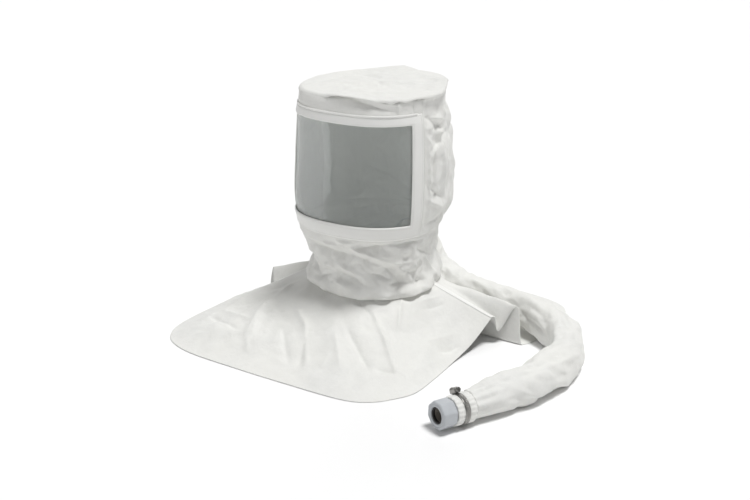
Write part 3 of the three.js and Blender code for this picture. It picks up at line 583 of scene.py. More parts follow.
clear, clear_tree, clear_shader, clear_where = new_material("clear_lens")
haze = noise_of(clear_tree, clear_where, 18.0, 3.0, 0.5)
clear_tree.links.new(mixed(clear_tree, haze, (0.93, 1.0, 0.975), (0.955, 1.0, 0.985)),
                     clear_shader.inputs["Base Color"])
clear_tree.links.new(spread(clear_tree, haze, 0.3, 0.7, 0.02, 0.06), clear_shader.inputs["Roughness"])
clear_tree.links.new(bumped(clear_tree, noise_of(clear_tree, clear_where, 14.0, 2.0), 0.0012, 0.25),
                     clear_shader.inputs["Normal"])
set_inputs(clear_shader, {"Transmission Weight": 0.7, "IOR": 1.46, "Alpha": 0.4})


def moulded_material(name, light, dark, roughness, grain, metallic=0.0):
    """Moulded or rolled stuff: a fine grain and slow differences in tone and gloss."""
    material, tree, shader, where = new_material(name)
    speck = noise_of(tree, where, 900.0, 3.0, 0.6)
    wear = noise_of(tree, where, 120.0, 5.0, 0.6)
    tree.links.new(mixed(tree, wear, dark, light), shader.inputs["Base Color"])
    tree.links.new(spread(tree, wear, 0.3, 0.7, roughness - 0.08, roughness + 0.08),
                   shader.inputs["Roughness"])
    tree.links.new(bumped(tree, speck, grain, 0.6), shader.inputs["Normal"])
    shader.inputs["Metallic"].default_value = metallic
    return material


plastic = moulded_material("pale_plastic", (0.55, 0.575, 0.60), (0.47, 0.49, 0.515), 0.42, 0.00004)
rubber = moulded_material("black_rubber", (0.035, 0.032, 0.03), (0.015, 0.014, 0.013), 0.6, 0.00005)
# a darker, warmer colour for the inside of the connector's bore: painted shade in the deep bore
bore_shade = moulded_material("bore_painted_shade", (0.30, 0.27, 0.24), (0.22, 0.20, 0.18), 0.5, 0.00004)
steel = moulded_material("clamp_steel", (0.42, 0.41, 0.39), (0.22, 0.215, 0.205), 0.34, 0.00003, 1.0)
print("materials", len(bpy.data.materials))

# %% [markdown]
# ## Bodies and nodes
#
# Nothing on the hood turns on a hinge, so every piece rides on the same body. Each one names the
# plain solid that it stands for, so that the solid isn't shown as well.

# %% Which piece stands for which node
def finish_piece(piece, material, slot_name, *nodes):
    """Give a piece its material, its body and the nodes that it stands for. The slot name is not used.
    """
    piece.data.materials.clear()
    piece.data.materials.append(material)
    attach(piece, "root")
    if nodes:
        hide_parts(*nodes)
    return piece


print("nodes that a piece has to stand for", len(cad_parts))

# %% [markdown]
# ## Head part: side and back
#
# One wide piece of cloth runs from the window border round the back to the other border. It is
# sewn along its whole edge, and the slack between the seams stands in upright creases, in a
# crushed dent near the rim and in another low on the wearer's left side. The big folds are set one
# by one, and the crumpled fields fill the cloth between them. Turns are in degrees from the middle
# of the front, and rise toward the wearer's left.

# %% Folds of the head part and the neck
SIDE_FOLDS = [
    # turn, height, slope, length, width, depth
    (79, 371, -4, 44, 6, -3.0),
    (90, 365, -14, 80, 7, 4.0),
    (92, 354, -24, 112, 8, -6.0),
    (73, 355, -5, 40, 6, 3.5),
    (98, 343, -8, 56, 6, 4.5),
    (96, 330, 14, 80, 7, -4.6),
    (74, 340, -48, 32, 6, 4.0),
    (84, 318, 35, 44, 6, 3.5),
    (76, 291, -84, 96, 4.5, 4.2),
    (82, 289, 90, 96, 5.5, -3.6),
    (98, 282, -79, 100, 8, 3.4),
    (110, 296, 80, 80, 8, -3.6),
    (87, 250, -32, 72, 7.5, -5.4),
    (84, 234, -28, 46, 7, 4.0),
    (100, 222, 30, 50, 8, 3.4),
    (96, 203, 2, 80, 8, -5.0),
    (128, 340, 30, 66, 8, -5.4),
    (140, 322, 64, 70, 8, 4.6),
    (152, 300, 74, 90, 8, -4.6),
    (150, 248, -30, 80, 8, 4.4),
    (172, 262, 92, 104, 8, 4.6),
    (176, 356, -20, 90, 8, -4.2),
    (196, 318, -52, 80, 8, -5.0),
    (206, 230, 24, 90, 8, -4.6),
    (225, 252, 80, 96, 8, 4.2),
    (236, 340, 36, 70, 8, 4.0),
    (248, 300, 98, 84, 7, -4.0),
    (262, 262, 74, 80, 7, 3.6),
    (274, 338, -30, 60, 7, -4.2),
    (280, 228, 20, 60, 7, -4.4),
]
NECK_FOLDS = [
    (-12, 169, -3, 130, 6, 4.5),
    (-11, 159, -4, 118, 7, -5.0),
    (31, 158, -17, 84, 6, 5.5),
    (29, 148, -18, 78, 7, -5.0),
    (55, 134, -41, 56, 6, 5.0),
    (49, 126, -40, 50, 7, -4.4),
    (33, 176, 12, 60, 5, -6.0),
    (63, 177, -2, 46, 5, -6.0),
    (57, 145, -5, 50, 5, 4.2),
    (71, 130, -68, 36, 5, 5.0),
    (84, 150, -24, 60, 6, -4.6),
    (95, 120, -56, 40, 6, 5.5),
    (108, 158, 30, 60, 7, 4.2),
    (-40, 142, 14, 60, 8, 4.0),
    (-17, 113, 20, 34, 6, -5.5),
    (-34, 118, -24, 40, 7, -4.2),
    (10, 130, -20, 52, 6, 4.4),
    (11, 119, -20, 56, 6, -5.6),
    (36, 125, -18, 36, 6, -5.0),
    (53, 109, -2, 36, 6, -5.0),
    (73, 106, 0, 36, 6, -6.0),
    (130, 140, 18, 70, 7, -5.0),
    (150, 118, -8, 64, 7, 4.2),
    (222, 126, 14, 74, 7, -5.0),
    (240, 152, -18, 80, 7, 4.8),
    (262, 132, 24, 70, 7, -4.6),
    (284, 160, -12, 66, 7, 4.4),
    (300, 126, -24, 56, 7, -4.6),
]


def crushed(across, height, at, level, spread_by, size, seed):
    """A patch of small sharp facets where the cloth has been crushed."""
    away = (across - np.radians(at) * HEAD_HALF_WIDTH) ** 2 + (height - level) ** 2
    return crumple(across, height, size, seed, rounding=1) * np.exp(-away / spread_by ** 2)


def side_detail(turn, height):
    """The side's crumpled fields and its folds, in millimetres outward."""
    across = np.radians(turn) * HEAD_HALF_WIDTH
    calm = 1 - 0.7 * smooth(height, 352, 385) * smooth(turn, 150, 110)
    field = 5.0 * crumple(across, height, 34, 11, (1.0, 1.9))
    field += 3.6 * crumple(across, height, 17, 12, (1.0, 1.6), rounding=1)
    field += 1.5 * crumple(across, height, 8, 13, (1.0, 1.3), rounding=1)
    field += 3.6 * crushed(across, height, 90, 344, 30, 12, 14)
    field += 3.0 * crushed(across, height, 86, 240, 26, 12, 15)
    field += 3.0 * crushed(across, height, 186, 330, 60, 14, 16)
    return field * calm - 2.5 + folds_on_head(turn, height, SIDE_FOLDS)


def side_room(turn, height):
    """Full slack inside the panel, none at its sewn edges."""
    wrapped = np.abs(signed(turn))
    return (smooth(wrapped, TAPE_TURN, TAPE_TURN + 7) * smooth(RIM_HEIGHT - height, 0, 9)
            * smooth(height - NECK_TOP_HEIGHT, 0, 10))


PANEL_WALL = 1.0
HEAD_WALL = 1.1
MM_PER_DEGREE = 2.1
TURNED_IN, TURNED_IN_HEIGHT = 4.8, 5


def seam_dip(distance, depth=0.9, width=2.4):
    """The cloth turns in along a seam."""
    return -depth * np.exp(-((distance / width) ** 2))


def under_crown(height):
    """The top edge turns in beneath the crown's rounded edge."""
    start = RIM_HEIGHT - TURNED_IN_HEIGHT
    return -TURNED_IN * np.clip((height - start) / TURNED_IN_HEIGHT, 0, 1) ** 2


def raised(turn, height):
    """Heights near the top edge follow the rim where it rises."""
    return height + rim(turn)[2] * smooth(height, RIM_HEIGHT - 20, RIM_HEIGHT)


SEAM_GAP = 0.14
turn, height = np.meshgrid(steps(TAPE_TURN + SEAM_GAP, 360 - TAPE_TURN - SEAM_GAP, 290),
                           steps(NECK_TOP_HEIGHT + 0.3, RIM_HEIGHT, 156))
reach = plain_reach(turn, height) + side_detail(turn, height) * side_room(turn, height)
from_border = (np.abs(signed(turn)) - TAPE_TURN) * MM_PER_DEGREE
reach += seam_dip(from_border) + seam_dip(height - NECK_TOP_HEIGHT) + under_crown(height)
side = sheet("side_back_cloth", place(turn, reach, raised(turn, height)), HEAD_WALL)
finish_piece(side, cloth, "cloth", "side_back_panel")

# %% [markdown]
# ## Neck
#
# The neck is cut wide and gathered where it meets the bibs, so it puffs out just above that
# seam and hangs over it. A long diagonal fold crosses its front from the wearer's right, and the
# cloth is crushed under the window's left corner.

# %% Neck
GATHERS = 17


def neck_detail(turn, height):
    """The neck's crumpled fields, gathers and folds, in millimetres outward."""
    across = np.radians(turn) * HEAD_HALF_WIDTH
    above = height - seam_height(turn)
    circle = 2 * np.pi * HEAD_HALF_WIDTH

    def around(size, seed, stretch):
        """A field that meets itself where the neck closes."""
        once = np.stack([across, across - circle])
        field = crumple(once, np.stack([height, height]), size, seed, stretch, rounding=1)
        share = smooth(turn, 290, 360)
        return field[0] * (1 - share) + field[1] * share

    begins = smooth(above, 0, 8)
    ends = 1 - smooth(above, 14, 48)
    off_the_join = smooth(turn, 0, 12) * smooth(turn, 360, 348)
    wander = 18 * crumple(across, height * 0.3, 60, 21) * off_the_join
    pleats = np.cos(np.radians(turn * GATHERS + wander))
    field = 4.6 * around(34, 22, (1.5, 0.8)) + 3.4 * around(17, 23, (1.3, 0.8))
    field += 1.5 * around(8, 24, (1.0, 1.0))
    field += 4.0 * crushed(across, height, 66, 150, 30, 12, 25) * (1 - smooth(turn, 300, 340))
    field += 2.2 * begins * ends * pleats
    return field + folds_on_head(turn, height, NECK_FOLDS)


def collar_bulge(above):
    """The gathered cloth swells out just above the seam and hangs a little over it."""
    swollen = smooth(above, -1, 6) * (1 - smooth(above, 9, 26))
    drawn_in = smooth(above, 20, 32) * (1 - smooth(above, 36, 60))
    return 3.8 * swollen - 1.5 * drawn_in


def neck_room(turn, height):
    """Full slack inside the panel, none at its seams and round the inlet."""
    inlet = np.hypot((np.abs(signed(turn)) - 180) * 1.9, height - INLET_HEIGHT)
    return (smooth(NECK_TOP_HEIGHT - height, 0, 8) * smooth(height - seam_height(turn), 0, 7)
            * smooth(inlet, 28, 48))


TURNS_ROUND = np.arange(320) * 1.125
turn, way = np.meshgrid(TURNS_ROUND, steps(0, 1, 90))
height = NECK_TOP_HEIGHT + (seam_height(turn) - NECK_TOP_HEIGHT) * way
reach = plain_reach(turn, height) + neck_detail(turn, height) * neck_room(turn, height)
above = height - seam_height(turn)
reach += seam_dip(height - NECK_TOP_HEIGHT) + collar_bulge(above)
neck_points = place(turn, reach, height)
neck_points[..., 2] -= 1.6 * smooth(above, 0, 5) * (1 - smooth(above, 6, 22))
# one more row tucks under the bibs' edge, and one goes up inside the side panel
tuck = neck_points[-1:].copy()
tuck[..., 2] -= 3.2
inside = place(turn[:1], reach[:1] - 1.9, height[:1] + 4)
neck_points = np.concatenate([inside, neck_points, tuck])
neck = sheet("neck_cloth", neck_points, PANEL_WALL, wrap=True, flip=True)
finish_piece(neck, cloth, "cloth", "neck_panel")

# %% [markdown]
# ## Window: brow, border, piping and lens
#
# The clear sheet is sewn in behind a smooth border of folded cloth. A thin piping runs round the
# top of the border, and above it the brow is plain cloth that bows out a little.

# %% Brow, border tape, piping and lens
def head_patch(name, turns, heights, columns, rows, wall, out=0.0, detail=None, slot_name="cloth",
               material=None, node=()):
    """A piece of the head's surface between two turns and two heights."""
    turn, height = np.meshgrid(steps(*turns, columns), steps(*heights, rows))
    reach = plain_reach(turn, height) + out
    if detail is not None:
        reach = reach + detail(turn, height)
    piece = sheet(name, place(turn, reach, raised(turn, height)), wall)
    return finish_piece(piece, material or cloth, slot_name, *node)


BROW_FOLDS = [
    # turn, height, slope, length, width, depth
    (19, 399.0, -16, 36, 6, -2.8),
    (34, 393.0, -13, 50, 6, -3.4),
    (42, 397.5, -12, 40, 5, 1.8),
    (50, 394.0, 87, 30, 5, 2.6),
    (61.8, 391.0, 90, 80, 2.6, -1.5),
    (-20, 392.0, 6, 90, 9, 0.9),
]


def brow_detail(turn, height):
    """The brow's crumpled fields and folds, and its top edge turned in."""
    across = np.radians(turn) * HEAD_HALF_WIDTH
    room = smooth(height, TAPE_TOP_HEIGHT, TAPE_TOP_HEIGHT + 7) * smooth(RIM_HEIGHT - height, -2, 6)
    field = 0.9 * crumple(across, height, 26, 31, (1.6, 0.7)) + 0.5 * crumple(across, height, 12, 32)
    return (field + folds_on_head(turn, height, BROW_FOLDS)) * room + under_crown(height)


brow_turn = TAPE_TURN - 0.15
brow = head_patch("brow_cloth", (-brow_turn, brow_turn), (TAPE_TOP_HEIGHT + 0.3, RIM_HEIGHT), 230, 26,
                  HEAD_WALL, detail=brow_detail, node=("brow_panel",))
CORNER_RADIUS = 2.0
TAPE_MM_PER_DEGREE = 2.11


def tape_grid(shares, per_corner):
    """The border as rings from its outer to its inner edge, with rounded window corners."""
    outer = (brow_turn, TAPE_TOP_HEIGHT, TAPE_BOTTOM_HEIGHT)
    inner = (WINDOW_TURN, WINDOW_TOP_HEIGHT, WINDOW_BOTTOM_HEIGHT)
    counts = (per_corner * 3, per_corner * 2, per_corner * 3, per_corner * 2)
    grid = []
    for share in shares:
        half = outer[0] + (inner[0] - outer[0]) * share
        top = outer[1] + (inner[1] - outer[1]) * share
        bottom = outer[2] + (inner[2] - outer[2]) * share
        corners = [(-half, top), (half, top), (half, bottom), (-half, bottom)]
        ring = []
        for k, count in enumerate(counts):
            u = np.arange(count) / count
            u = u * u * (3 - 2 * u) * 0.25 + u * 0.75
            a, b = corners[k], corners[(k + 1) % 4]
            ring.append(np.stack([a[0] + (b[0] - a[0]) * u, a[1] + (b[1] - a[1]) * u], -1))
        ring = np.concatenate(ring)
        middle = (top + bottom) / 2
        off_middle = ring[:, 1] - middle
        straight = half * TAPE_MM_PER_DEGREE - CORNER_RADIUS
        along = np.maximum(np.abs(ring[:, 0]) * TAPE_MM_PER_DEGREE - straight, 0)
        upward = np.maximum(np.abs(off_middle) - ((top - bottom) / 2 - CORNER_RADIUS), 0)
        far = np.hypot(along, upward)
        pull = np.where(far > CORNER_RADIUS, CORNER_RADIUS / np.maximum(far, 1e-9), 1.0)
        pull = pull * share + 1 - share
        both = (along > 0) & (upward > 0)
        pull = np.where(both, pull, 1.0)
        narrower = np.abs(ring[:, 0]) - along * (1 - pull) / TAPE_MM_PER_DEGREE
        lower = np.abs(off_middle) - upward * (1 - pull)
        ring[:, 0] = np.sign(ring[:, 0]) * narrower
        ring[:, 1] = middle + np.sign(off_middle) * lower
        grid.append(ring)
    return np.stack(grid)


tape_shares = np.array([0, 0.03, 0.07, 0.13, 0.22, 0.34, 0.46, 0.58, 0.7, 0.8, 0.88, 0.94, 0.975, 1.0])
tape_places = tape_grid(tape_shares, 46)
swell = (smooth(tape_shares, 0, 0.10) * smooth(tape_shares, 1.0, 0.93))[:, None]
edge_line = np.exp(-(((tape_shares - 0.13) / 0.05) ** 2))[:, None]
turn, height = tape_places[..., 0], tape_places[..., 1]
tape_reach = plain_reach(turn, height) + (1.1 * swell - 0.35 * edge_line)
tape_reach += 0.35 * crumple(np.radians(turn) * HEAD_HALF_WIDTH, height, 40, 33, (1.5, 1.0)) * swell
tape = sheet("window_border", place(turn, tape_reach, height), 1.5, wrap=True, flip=True)
finish_piece(tape, border, "tape", "lens_tape")


def piping_detail(turn, height):
    """The piping's round back."""
    across = np.abs(height - TAPE_TOP_HEIGHT) / 1.7
    return 1.1 * np.sqrt(np.clip(1 - across ** 2, 0, 1)) - 0.9


piping = head_patch("brow_piping_cord", (-TAPE_TURN + 5, TAPE_TURN - 5),
                    (TAPE_TOP_HEIGHT - 1.6, TAPE_TOP_HEIGHT + 1.6), 160, 11, 1.2, out=1.6,
                    detail=piping_detail, slot_name="tape", material=border, node=("brow_piping",))


def lens_detail(turn, height):
    """The clear sheet's slow waves."""
    return 0.5 * np.sin(np.radians(turn * 3.1)) * np.sin((height - WINDOW_BOTTOM_HEIGHT) / 60)


lens_turn = WINDOW_TURN + 2.3
LENS_MARGIN = 4.8
lens = head_patch("lens_sheet", (-lens_turn, lens_turn),
                  (WINDOW_BOTTOM_HEIGHT - LENS_MARGIN, WINDOW_TOP_HEIGHT + LENS_MARGIN), 130, 70, 0.7,
                  out=-2.3, detail=lens_detail, slot_name="lens", material=clear, node=("lens",))

# %% [markdown]
# ## Crown
#
# The top is a soft oval of cloth sewn round the rim. It isn't held up by anything, so it lies in
# low, sharp folds, its front edge laps over the brow in places, and a corner of slack stands out
# at the right of the back.

# %% Crown
CROWN_FOLDS = [
    # x, y, slope, length, width, rise
    (18, 52, 15, 150, 22, 2.5),
    (62, 66, -25, 90, 12, 3.0),
    (40, 10, 24, 110, 8, 2.6),
    (-30, 30, -14, 120, 9, -2.6),
    (75, -10, 60, 70, 8, -2.8),
    (-50, -30, 10, 100, 10, 2.2),
    (10, -40, -12, 130, 8, -2.2),
    (-20, 80, 40, 80, 9, 2.6),
    (30, -70, 12, 90, 7, 1.8),
    (-70, 10, 70, 80, 8, -2.0),
]


def crown_height(x, y, share):
    """The crown's low dome, its hump to the rear, its folds and its facets, above the rim."""
    hump = 2.0 * np.exp(-(((x - 14) / 38) ** 2 + ((y - 55) / 38) ** 2))
    rise = 0.4 * CROWN_RISE * (1 - share ** 2.4) + hump
    folds = 0
    for at_x, at_y, slope, length, width, lift in CROWN_FOLDS:
        folds = folds + lift * fold(x - at_x, y - at_y, slope, length, width)
    field = 2.8 * crumple(x, y, 34, 41, (1.3, 1.0)) + 1.6 * crumple(x, y, 16, 42, rounding=1)
    field += 0.6 * crumple(x, y, 8, 43, rounding=1)
    calm = 1 - 0.8 * smooth(share, 0.88, 1.0)
    return rise + (folds + field) * calm


rim_out, rim_hang, rim_rise, rim_radius = rim(TURNS_ROUND)
rim_reach = plain_reach(TURNS_ROUND, RIM_HEIGHT) + 1.2 + rim_out
turn, share = np.meshgrid(TURNS_ROUND,
                          np.concatenate([steps(0.03, 0.9, 50), steps(0.92, 1.0, 5)]))
reach = (rim_reach - rim_radius) * share
x, y = reach * np.sin(np.radians(turn)), -reach * np.cos(np.radians(turn))
z = RIM_HEIGHT + 1.5 + crown_height(x, y, share) + rim_rise * share ** 3
edge_rings = []  # first round the edge, then down over the brow and the side
for bend in (12, 24, 36, 48, 60, 72, 84):
    angle = math.radians(bend)
    edge_rings.append(place(TURNS_ROUND, rim_reach - rim_radius * (1 - math.sin(angle)),
                            z[-1] - rim_radius * (1 - math.cos(angle))))
for part in (0.35, 0.7, 1.0):
    edge_rings.append(place(TURNS_ROUND, rim_reach - (0.3 + 0.25 * rim_out) * part,
                            z[-1] - rim_radius - rim_hang * part))
crown_points = np.concatenate([np.stack([x, y, z], -1), np.stack(edge_rings)])
crown = sheet("crown_cloth", crown_points, PANEL_WALL, wrap=True, flip=True, capped=True)
finish_piece(crown, cloth, "cloth", "crown_panel")

# %% [markdown]
# ## Bibs
#
# The front bib runs from the neck seam down to the surface and out to a hem with rounded corners.
# The rear bib stands up along the wearer's right, drops behind the neck under the hose, and
# makes a small flute at the wearer's left shoulder.

# %% Bibs
BIB_FOLDS = [
    # across and along at both ends, width, rise, in millimetres
    (-113, -65, -134, -128, 6.5, 4.7),
    (-134, -128, -112, -205, 6.5, 3.1),
    (-60, -136, -26, -160, 5.8, 4.3),
    (-33, -151, 19, -222, 6.5, 4.3),
    (-16, -172, 10, -224, 6.5, -3.5),
    (46, -146, 105, -184, 6.5, -4.3),
    (28, -158, 70, -205, 6.5, 2.8),
    (67, -105, 108, -136, 5.8, 4.7),
    (104, -132, 150, -174, 5.8, 5.1),
    (122, -182, 172, -170, 5.0, -4.3),
    (168, -74, 180, -38, 5.8, -5.1),
    (150, -84, 166, -34, 5.8, 2.7),
    (120, -36, 134, -6, 4.3, -3.1),
    (112, -34, 124, -2, 4.3, 2.7),
    (-108, -206, -90, -227, 5.0, 3.5),
    (-212, -168, -140, -195, 5.8, -3.5),
    (-200, -150, -132, -170, 5.8, 2.7),
    (-127, -140, -102, -205, 5.8, 3.1),
    (-58, -176, -14, -222, 5.8, -3.1),
    (27, -91, 66, -110, 5.0, -2.8),
    (88, -58, 110, -104, 5.8, 3.9),
    (170, -140, 182, -60, 7.2, 2.7),
    (-175, -40, -205, -120, 7.2, 3.1),
    (-150, -10, -190, -70, 6.5, -3.5),
    (-60, 150, -110, 225, 7.2, 4.3),
    (-110, 90, -200, 150, 7.2, -3.9),
    (-90, 120, -170, 205, 7.2, 3.9),
    (-10, 170, 20, 235, 7.2, -3.5),
    (80, 150, 140, 215, 7.2, 3.9),
]


SHOULDER_TURN = 97


def bib_folds(x, y):
    """The height of the folds that run over the bibs."""
    height = 0
    for x0, y0, x1, y1, width, rise in BIB_FOLDS:
        length = math.hypot(x1 - x0, y1 - y0)
        ux, uy = (x1 - x0) / length, (y1 - y0) / length
        run = (x - (x0 + x1) / 2) * ux + (y - (y0 + y1) / 2) * uy
        off = (y - y0) * ux - (x - x0) * uy
        ends = 1 - smooth(np.abs(run), 0.3 * length, 0.72 * length)
        height = height + rise * ridge(off, width) * ends
    return height


def on_bib(stations, length, turn, way):
    """Points of a bib, at turns on the neck seam and shares of the way from there to the hem."""
    low = seam_height(turn)
    start = place(turn, plain_reach(turn, low) + 0.6, low)
    x = start[..., 0] + (between(stations, 1, turn) * BIB_HALF_WIDTH - start[..., 0]) * way
    y = start[..., 1] + (between(stations, 2, turn) * length - start[..., 1]) * way
    hem = np.maximum(between(stations, 3, turn), 0) * SEAM_HEIGHT + CLOTH_WALL
    fallen = (1 - way) ** np.maximum(between(stations, 4, turn), 0.4)
    plain = hem + (start[..., 2] - hem) * fallen
    room = smooth(plain, CLOTH_WALL, 20)
    from_tape = smooth(np.abs(np.abs(signed(turn)) - SHOULDER_TURN), 2, 16)
    height = plain + 0.8 * bib_folds(x, y) * room * from_tape
    field = 4.5 * crumple(x, y, 62, 51) + 2.6 * crumple(x, y, 28, 52) + 0.8 * crumple(x, y, 13, 53)
    loose = smooth(way, 0, 0.10) * (0.15 + 0.85 * room) * (0.2 + 0.8 * from_tape)
    height = height + field * loose * (1 - 0.75 * smooth(way, 0.9, 1.0))
    return np.stack([x, y, height], -1)


def bib(stations, length, turns, columns, rows):
    """A bib's grid of points, from the seam to the hem."""
    turn, way = np.meshgrid(steps(*turns, columns), steps(0, 1, rows) ** 1.15)
    return on_bib(stations, length, turn, way)


BIB_FLOOR = 0.4  # how far the cloth stays clear of the surface
front_points = bib(FRONT_STATIONS, BIB_FRONT, FRONT_TURNS, 300, 130)
front = sheet("front_bib_cloth", front_points, PANEL_WALL, floor=BIB_FLOOR)
finish_piece(front, cloth, "cloth", "front_bib")
rear_points = bib(REAR_STATIONS, BIB_BACK, REAR_TURNS, 240, 100)
rear = sheet("rear_bib_cloth", rear_points, PANEL_WALL, flip=True, floor=BIB_FLOOR)
finish_piece(rear, cloth, "cloth", "rear_bib")


def shoulder(name, front_edge, rear_edge, node, flip):
    """A strip over the joint of both bibs, which follows their edges."""
    way = steps(0, 1, 90)
    a, b = [np.stack([np.interp(way, steps(0, 1, len(edge)), edge[:, k]) for k in range(3)], -1)
            for edge in (front_edge, rear_edge)]
    shares = np.array([-0.14, -0.06, 0.06, 0.2, 0.35, 0.5, 0.65, 0.8, 0.94, 1.06, 1.14])
    lift = np.array([0.35, 0.9, 1.3, 1.6, 1.75, 1.8, 1.75, 1.6, 1.3, 0.9, 0.35])
    points = a[:, None] + (b - a)[:, None] * shares[None, :, None]
    points[..., 2] += lift[None]
    piece = sheet(name, points, PANEL_WALL, flip=flip)
    return finish_piece(piece, border, "tape", node)


left_tape = shoulder("shoulder_tape_left_cloth", front_points[:, 0], rear_points[:, 0],
                     "shoulder_tape_left", True)
right_tape = shoulder("shoulder_tape_right_cloth", front_points[:, -1], rear_points[:, -1],
                      "shoulder_tape_right", False)

# %% [markdown]
# ## Breathing hose
#
# The hose leaves the back of the neck, drops between the neck and the rear bib, lies round the
# wearer's left and comes forward to its connector. It is a loose cloth sleeve over a corrugated
# tube, so it is round where the tube fills it, flat where it rests, and crumpled all along.

# %% Hose route, in metres above the surface
HOSE_ROUTE = [
    (0.0091, 0.1175, 0.1248), (0.0105, 0.1295, 0.1177), (0.013, 0.139, 0.103), (0.017, 0.143, 0.086),
    (0.026, 0.144, 0.069), (0.044, 0.142, 0.055), (0.068, 0.136, 0.046), (0.098, 0.128, 0.042),
    (0.130, 0.121, 0.040), (0.168, 0.113, 0.038), (0.210, 0.106, 0.037), (0.248, 0.101, 0.032),
    (0.284, 0.086, 0.028), (0.314, 0.058, 0.0265), (0.337, 0.018, 0.026), (0.347, -0.028, 0.026),
    (0.345, -0.074, 0.026), (0.333, -0.118, 0.026), (0.316, -0.158, 0.0256), (0.3015, -0.1957, 0.0253),
    (0.2935, -0.2139, 0.0252),
]


def smooth_route(points, count):
    """Evenly spaced points of the centripetal curve through the route's points."""
    p = np.array(points)
    p = np.concatenate([[2 * p[0] - p[1]], p, [2 * p[-1] - p[-2]]])
    dense = []
    for a, b, c, d in zip(p[:-3], p[1:-2], p[2:-1], p[3:]):
        t1 = np.linalg.norm(b - a) ** 0.5
        t2 = t1 + np.linalg.norm(c - b) ** 0.5
        t3 = t2 + np.linalg.norm(d - c) ** 0.5
        t = np.linspace(t1, t2, 40, endpoint=False)[:, None]
        ab = a + (b - a) * t / t1
        bc = b + (c - b) * (t - t1) / (t2 - t1)
        cd = c + (d - c) * (t - t2) / (t3 - t2)
        abc = ab + (bc - ab) * t / t2
        bcd = bc + (cd - bc) * (t - t1) / (t3 - t1)
        dense.append(abc + (bcd - abc) * (t - t1) / (t2 - t1))
    dense = np.concatenate([*dense, p[-2:-1]])
    length = np.concatenate([[0], np.cumsum(np.linalg.norm(np.diff(dense, axis=0), axis=1))])
    even = np.linspace(0, length[-1], count)
    return np.stack([np.interp(even, length, dense[:, k]) for k in range(3)], -1), length[-1]


route, hose_length = smooth_route(HOSE_ROUTE, 420)
route_mm = route / MM
along = unit(np.gradient(route_mm, axis=0))
beside = unit(np.cross(along, UP))
over = np.cross(beside, along)
HOSE_SIDES = 84
SLEEVE_MEAN_RADIUS = 27
INLET_END_RADIUS, CUFF_RADIUS, LOOSE_RADIUS = 21.5, 20.4, 27.6
hose_mm = hose_length / MM
hose_angle, from_inlet = np.meshgrid(np.arange(HOSE_SIDES) * 2 * np.pi / HOSE_SIDES,
                                     np.linspace(0, hose_mm, len(route)))
to_end = hose_mm - from_inlet
round_hose = hose_angle * SLEEVE_MEAN_RADIUS
once_round = 2 * np.pi * SLEEVE_MEAN_RADIUS


def sleeve_field(size, seed, stretch, slant):
    """Facets that run slantwise round the sleeve and meet where they have gone once round."""
    once = np.stack([round_hose, round_hose - once_round])
    field = crumple(once, from_inlet + slant * once, size, seed, stretch, rounding=1)
    share = smooth(round_hose, once_round * 0.75, once_round)
    return field[0] * (1 - share) + field[1] * share


field = 4.2 * sleeve_field(34, 61, (1.0, 1.7), 0.5) + 4.2 * sleeve_field(18, 62, (0.8, 1.8), 0.7)
field += 1.9 * sleeve_field(9, 63, (0.9, 1.4), 0.4)
loose = smooth(to_end, 0, 46)
radius = CUFF_RADIUS + (LOOSE_RADIUS - CUFF_RADIUS) * loose
opening = np.minimum(radius, INLET_END_RADIUS + 6 * smooth(from_inlet, 4, 60))
radius = np.where(from_inlet < 60, opening, radius)
pleats = np.cos(hose_angle * 11 + 0.6 * np.sin(hose_angle * 3)) * smooth(to_end, 70, 8)
radius = radius + (field * (0.25 + 0.75 * loose) + pleats) * smooth(from_inlet, 0, 20)
hose_points = (route_mm[:, None] + beside[:, None] * (radius * np.cos(hose_angle))[..., None]
               + over[:, None] * (radius * np.sin(hose_angle))[..., None])
# where it would sink into the surface it lies flat on it instead, with a soft bend
LYING, CLEAR = 3.0, 0.5
low = hose_points[..., 2]
pressed = CLEAR + (LYING - CLEAR) * np.exp((np.minimum(low, LYING) - LYING) / (LYING - CLEAR))
hose_points[..., 2] = np.where(low < LYING, pressed, low)
index = np.arange(hose_points.shape[0] * HOSE_SIDES).reshape(-1, HOSE_SIDES)
after = np.roll(index, -1, 1)
quads = np.stack([index[1:], after[1:], after[:-1], index[:-1]], -1).reshape(-1, 4)
vertices = np.concatenate([hose_points.reshape(-1, 3), route_mm[:1], route_mm[-1:]])
first, last = len(vertices) - 2, len(vertices) - 1
faces = [tuple(quad) for quad in quads.tolist()]
faces += [(int(index[0, k]), int(after[0, k]), first) for k in range(HOSE_SIDES)]
faces += [(int(after[-1, k]), int(index[-1, k]), last) for k in range(HOSE_SIDES)]
hose = make_mesh("hose_sleeve", to_frame(vertices), faces)
finish_piece(hose, sleeve_cloth, "cloth", "air_hose")
print("hose length", round(hose_length, 4), "faces", len(hose.data.polygons))

# %% [markdown]
# ## Connector and clamp
#
# The hose ends in a pale moulded nut with eight shallow flats, a ring moulded on its face and a
# black gasket in its mouth. The sleeve's cuff is pleated over the barrel behind the nut and a worm
# clamp squeezes it there. Each turned piece is a closed profile swept round the connector's axis,
# and the flats, pleats and hexagon come from letting the radius change with the angle.

# %% Turned pieces
CONNECTOR_FACE = np.array([271.0, -265.0, 25.0])
CONNECTOR_AXIS = unit(np.array([0.40, 0.912, -0.03]))
connector_side = unit(np.cross(CONNECTOR_AXIS, UP))
connector_up = np.cross(connector_side, CONNECTOR_AXIS)


